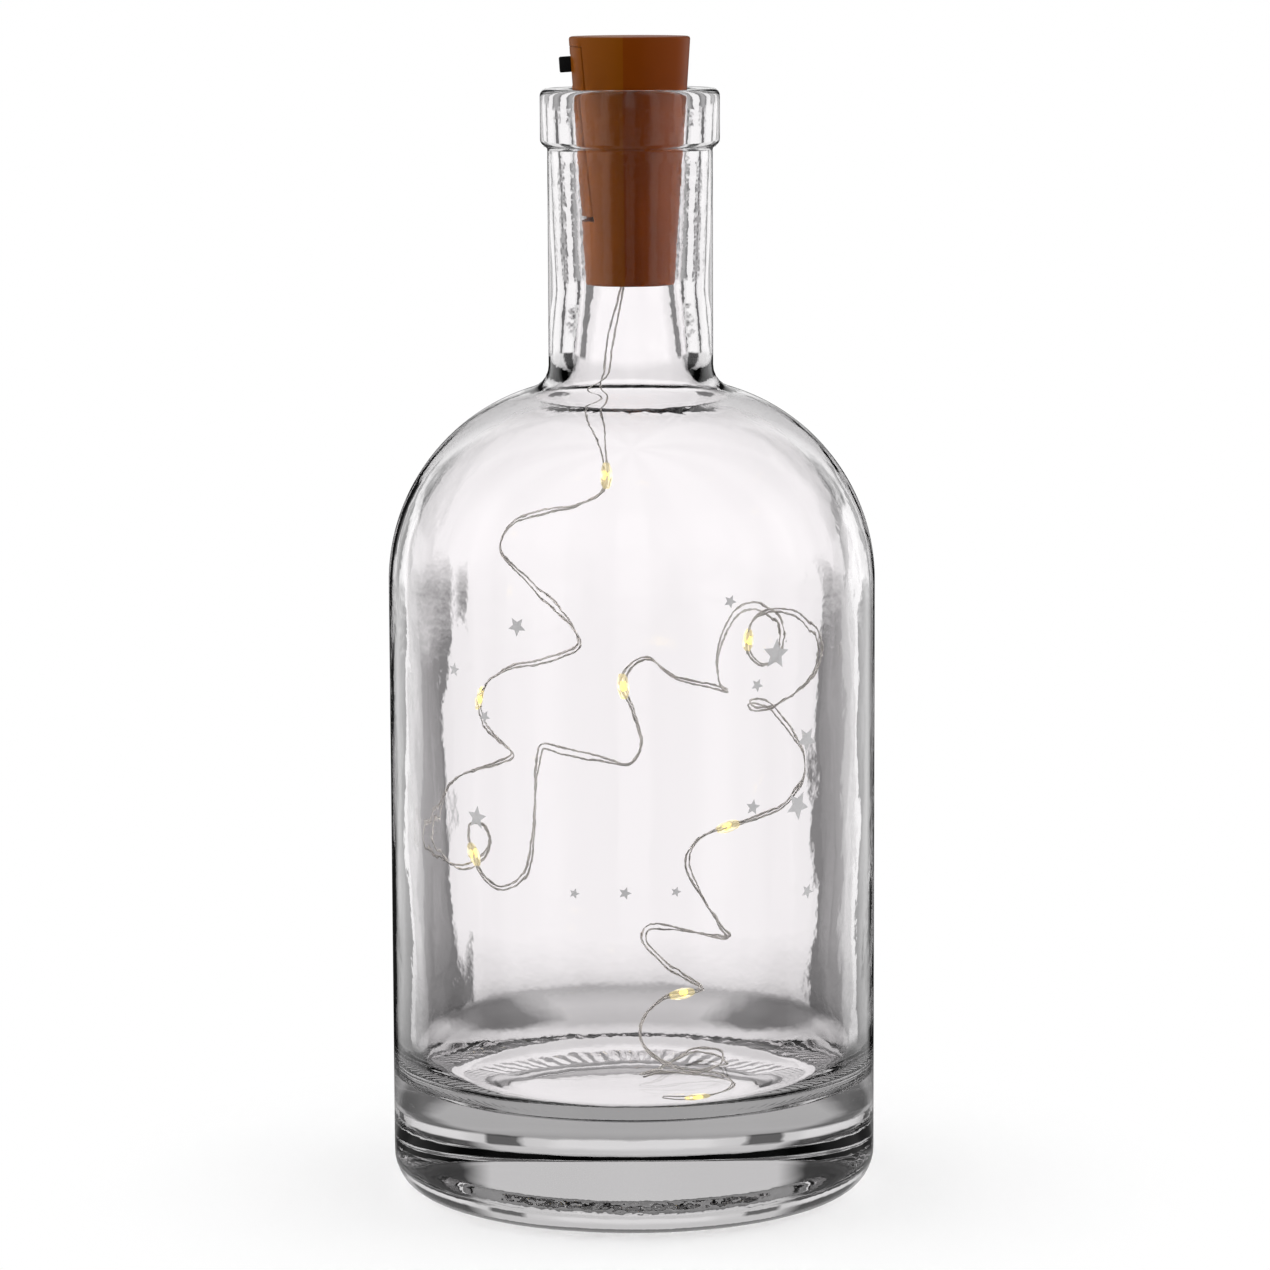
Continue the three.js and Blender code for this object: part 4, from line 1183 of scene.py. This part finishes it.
def room():
    world = bpy.data.worlds.new("room")
    world.use_nodes = True
    tree = world.node_tree
    tree.nodes.clear()
    way = add(tree, "ShaderNodeTexCoord", out="Generated")
    parts = add(tree, "ShaderNodeSeparateXYZ", {0: way}).node.outputs
    height = parts["Z"]
    heading = add(tree, "ShaderNodeMath", {0: parts["X"], 1: parts["Y"]}, operation="ARCTAN2")
    double = add(tree, "ShaderNodeMath", {0: heading, 1: 2.0}, operation="MULTIPLY")
    cosine = add(tree, "ShaderNodeMath", {0: double}, operation="COSINE")
    sides = add(tree, "ShaderNodeMath", {0: cosine, 1: -SIDE_LIGHT, 2: 1.0}, operation="MULTIPLY_ADD")
    level = add(tree, "ShaderNodeMath", {0: cosine, 1: -0.5, 2: 0.5}, operation="MULTIPLY_ADD")
    level = add(tree, "ShaderNodeMath", {0: level, 1: INSIDE_FOCUS}, operation="POWER")
    level = add(tree, "ShaderNodeMath", {0: level, 1: INSIDE_LIGHT}, operation="MULTIPLY")
    plain = add(tree, "ShaderNodeBackground", {"Color": WHITE, "Strength": sides})
    inside = add(tree, "ShaderNodeBackground", {"Color": WHITE, "Strength": level})
    white = add(tree, "ShaderNodeBackground", {"Color": WHITE})
    gloss = add(tree, "ShaderNodeBackground", {"Color": seen_in_gloss(tree, height, heading)})
    through = add(tree, "ShaderNodeBackground", {"Color": seen_through_glass(tree, height, heading)})
    path = add(tree, "ShaderNodeLightPath").node.outputs
    scattered = add(tree, "ShaderNodeMath", {0: path["Diffuse Depth"], 1: 1.0}, operation="MINIMUM")
    through = add(tree, "ShaderNodeMixShader", {0: scattered, 1: through, 2: inside})
    lit = add(tree, "ShaderNodeMixShader", {0: path["Is Glossy Ray"], 1: plain, 2: gloss})
    lit = add(tree, "ShaderNodeMixShader", {0: path["Is Transmission Ray"], 1: lit, 2: through})
    lit = add(tree, "ShaderNodeMixShader", {0: path["Is Camera Ray"], 1: lit, 2: white})
    add(tree, "ShaderNodeOutputWorld", {"Surface": lit})
    return world


scene.world = room()
print("World nodes:", len(scene.world.node_tree.nodes))

# %% [markdown]
# ## Floor
# A white board under the bottle. As a plain board it would end in a visible edge and a grey shadow, so it
# keeps only a faint shadow near the bottle and fades to the white of the room. What the glass shows of it
# is painted light and shadow: a bright middle of painted light, where light comes down through the base, a
# dim ring of painted shadow round it with darker painted wedges, and white further out, where the board
# lets the room behind it through.

# %% Material of the floor
FLOOR_RADIUS = 0.2
FADE_FROM = 0.03
FADE_TO = 0.1
SHADOW_SHARE = 0.6
NEAR_FLOOR = 0.1
FAR_FLOOR = 0.125
WEDGES_FROM = 0.04
WEDGES_TO = 0.06
# Painted light and shadow on the floor as glass shows it: bright under the base, a dim ring round it, white
# far out
PAINTED_FLOOR_LIGHT_AND_SHADOW = [
    (0.0, 1.0), (0.18, 0.98), (0.195, 0.95), (0.23, 0.85), (0.28, 0.55), (0.385, 0.6),
    (0.5, 0.5), (0.6, 0.58), (0.75, 0.86), (0.95, 1.0),
]
# Painted shade: darker wedges on the ring round the bottle, between the panels' headings
PAINTED_FLOOR_SHADE_WEDGES = [(0.0, 1.0), (0.5, 1.0), (0.75, 0.35), (1.0, 0.3)]
FLOOR_AFTER_BOUNCE = 0.4


def shown_in_glass(tree, place, reach, path):
    """What rays through the glass or off it see of the floor: painted light and shadow, in rings and wedges
    """
    share = add(tree, "ShaderNodeMath", {0: reach, 1: FLOOR_RADIUS}, operation="DIVIDE")
    rings = add(tree, "ShaderNodeValToRGB", {"Fac": share}, stops=PAINTED_FLOOR_LIGHT_AND_SHADOW)
    parts = add(tree, "ShaderNodeSeparateXYZ", {0: place}).node.outputs
    heading = add(tree, "ShaderNodeMath", {0: parts["X"], 1: parts["Y"]}, operation="ARCTAN2")
    off_panel = off_middle(tree, heading, PANEL_STEP)
    outer = {"Value": reach, "From Min": WEDGES_FROM, "From Max": WEDGES_TO}
    away = add(tree, "ShaderNodeMapRange", outer)
    off_panel = add(tree, "ShaderNodeMath", {0: off_panel, 1: away}, operation="MULTIPLY")
    wedges = add(tree, "ShaderNodeValToRGB", {"Fac": off_panel}, stops=PAINTED_FLOOR_SHADE_WEDGES)
    pattern = add(tree, "ShaderNodeVectorMath", {0: rings, 1: wedges}, operation="MULTIPLY")
    bounced = add(tree, "ShaderNodeMath", {0: path["Glossy Depth"], 1: 1.0}, operation="MINIMUM")
    loss = {"Value": bounced, "To Min": 1.0, "To Max": FLOOR_AFTER_BOUNCE}
    level = add(tree, "ShaderNodeMapRange", loss)
    # The floor emits this painted pattern of light and shadow itself, dimmer after a bounce off a gloss
    near = add(tree, "ShaderNodeEmission", {"Color": pattern, "Strength": level})
    past = add(tree, "ShaderNodeBsdfTransparent", {"Color": rings})
    far = add(tree, "ShaderNodeMapRange", {"Value": reach, "From Min": NEAR_FLOOR, "From Max": FAR_FLOOR})
    return add(tree, "ShaderNodeMixShader", {0: far, 1: near, 2: past})


def pale_floor():
    # Gives the eye plain white, with a faint shadow close to the bottle, and in the glass painted light and
    # shadow
    material = bpy.data.materials.new("Matt white board")
    material.use_nodes = True
    tree = material.node_tree
    tree.nodes.clear()
    place = add(tree, "ShaderNodeTexCoord", out="Object")
    reach = add(tree, "ShaderNodeVectorMath", {0: place}, "Value", operation="LENGTH")
    fading = {"Value": reach, "From Min": FADE_FROM, "From Max": FADE_TO, "To Min": 1 - SHADOW_SHARE}
    fade = add(tree, "ShaderNodeMapRange", fading, interpolation_type="SMOOTHSTEP")
    path = add(tree, "ShaderNodeLightPath").node.outputs
    board = add(tree, "ShaderNodeBsdfDiffuse", {"Color": linear("FBFBFB")})
    white = add(tree, "ShaderNodeEmission", {"Color": WHITE})
    faded = add(tree, "ShaderNodeMixShader", {0: fade, 1: board, 2: white})
    glassy = shown_in_glass(tree, place, reach, path)
    mixed = add(tree, "ShaderNodeMixShader", {0: path["Is Glossy Ray"], 1: faded, 2: glassy})
    add(tree, "ShaderNodeOutputMaterial", {"Surface": mixed})
    return material


# %% [markdown]
# The board itself is a thin disc, turned like the drops, with its upper face at the height of the bottle's
# standing ring. It belongs to the stage and not to the part.

# %% Floor
FLOOR_THICKNESS = 0.004
FLOOR_STEPS = 96

floor_profile = [(0, -FLOOR_THICKNESS), (FLOOR_RADIUS, -FLOOR_THICKNESS), (FLOOR_RADIUS, 0), (0, 0)]
disc = turned_mesh("floor", floor_profile, FLOOR_STEPS)
floor = bpy.data.objects.new("floor", disc)
scene.collection.objects.link(floor)
disc.materials.append(pale_floor())
print("Floor is", 2 * FLOOR_RADIUS, "m wide")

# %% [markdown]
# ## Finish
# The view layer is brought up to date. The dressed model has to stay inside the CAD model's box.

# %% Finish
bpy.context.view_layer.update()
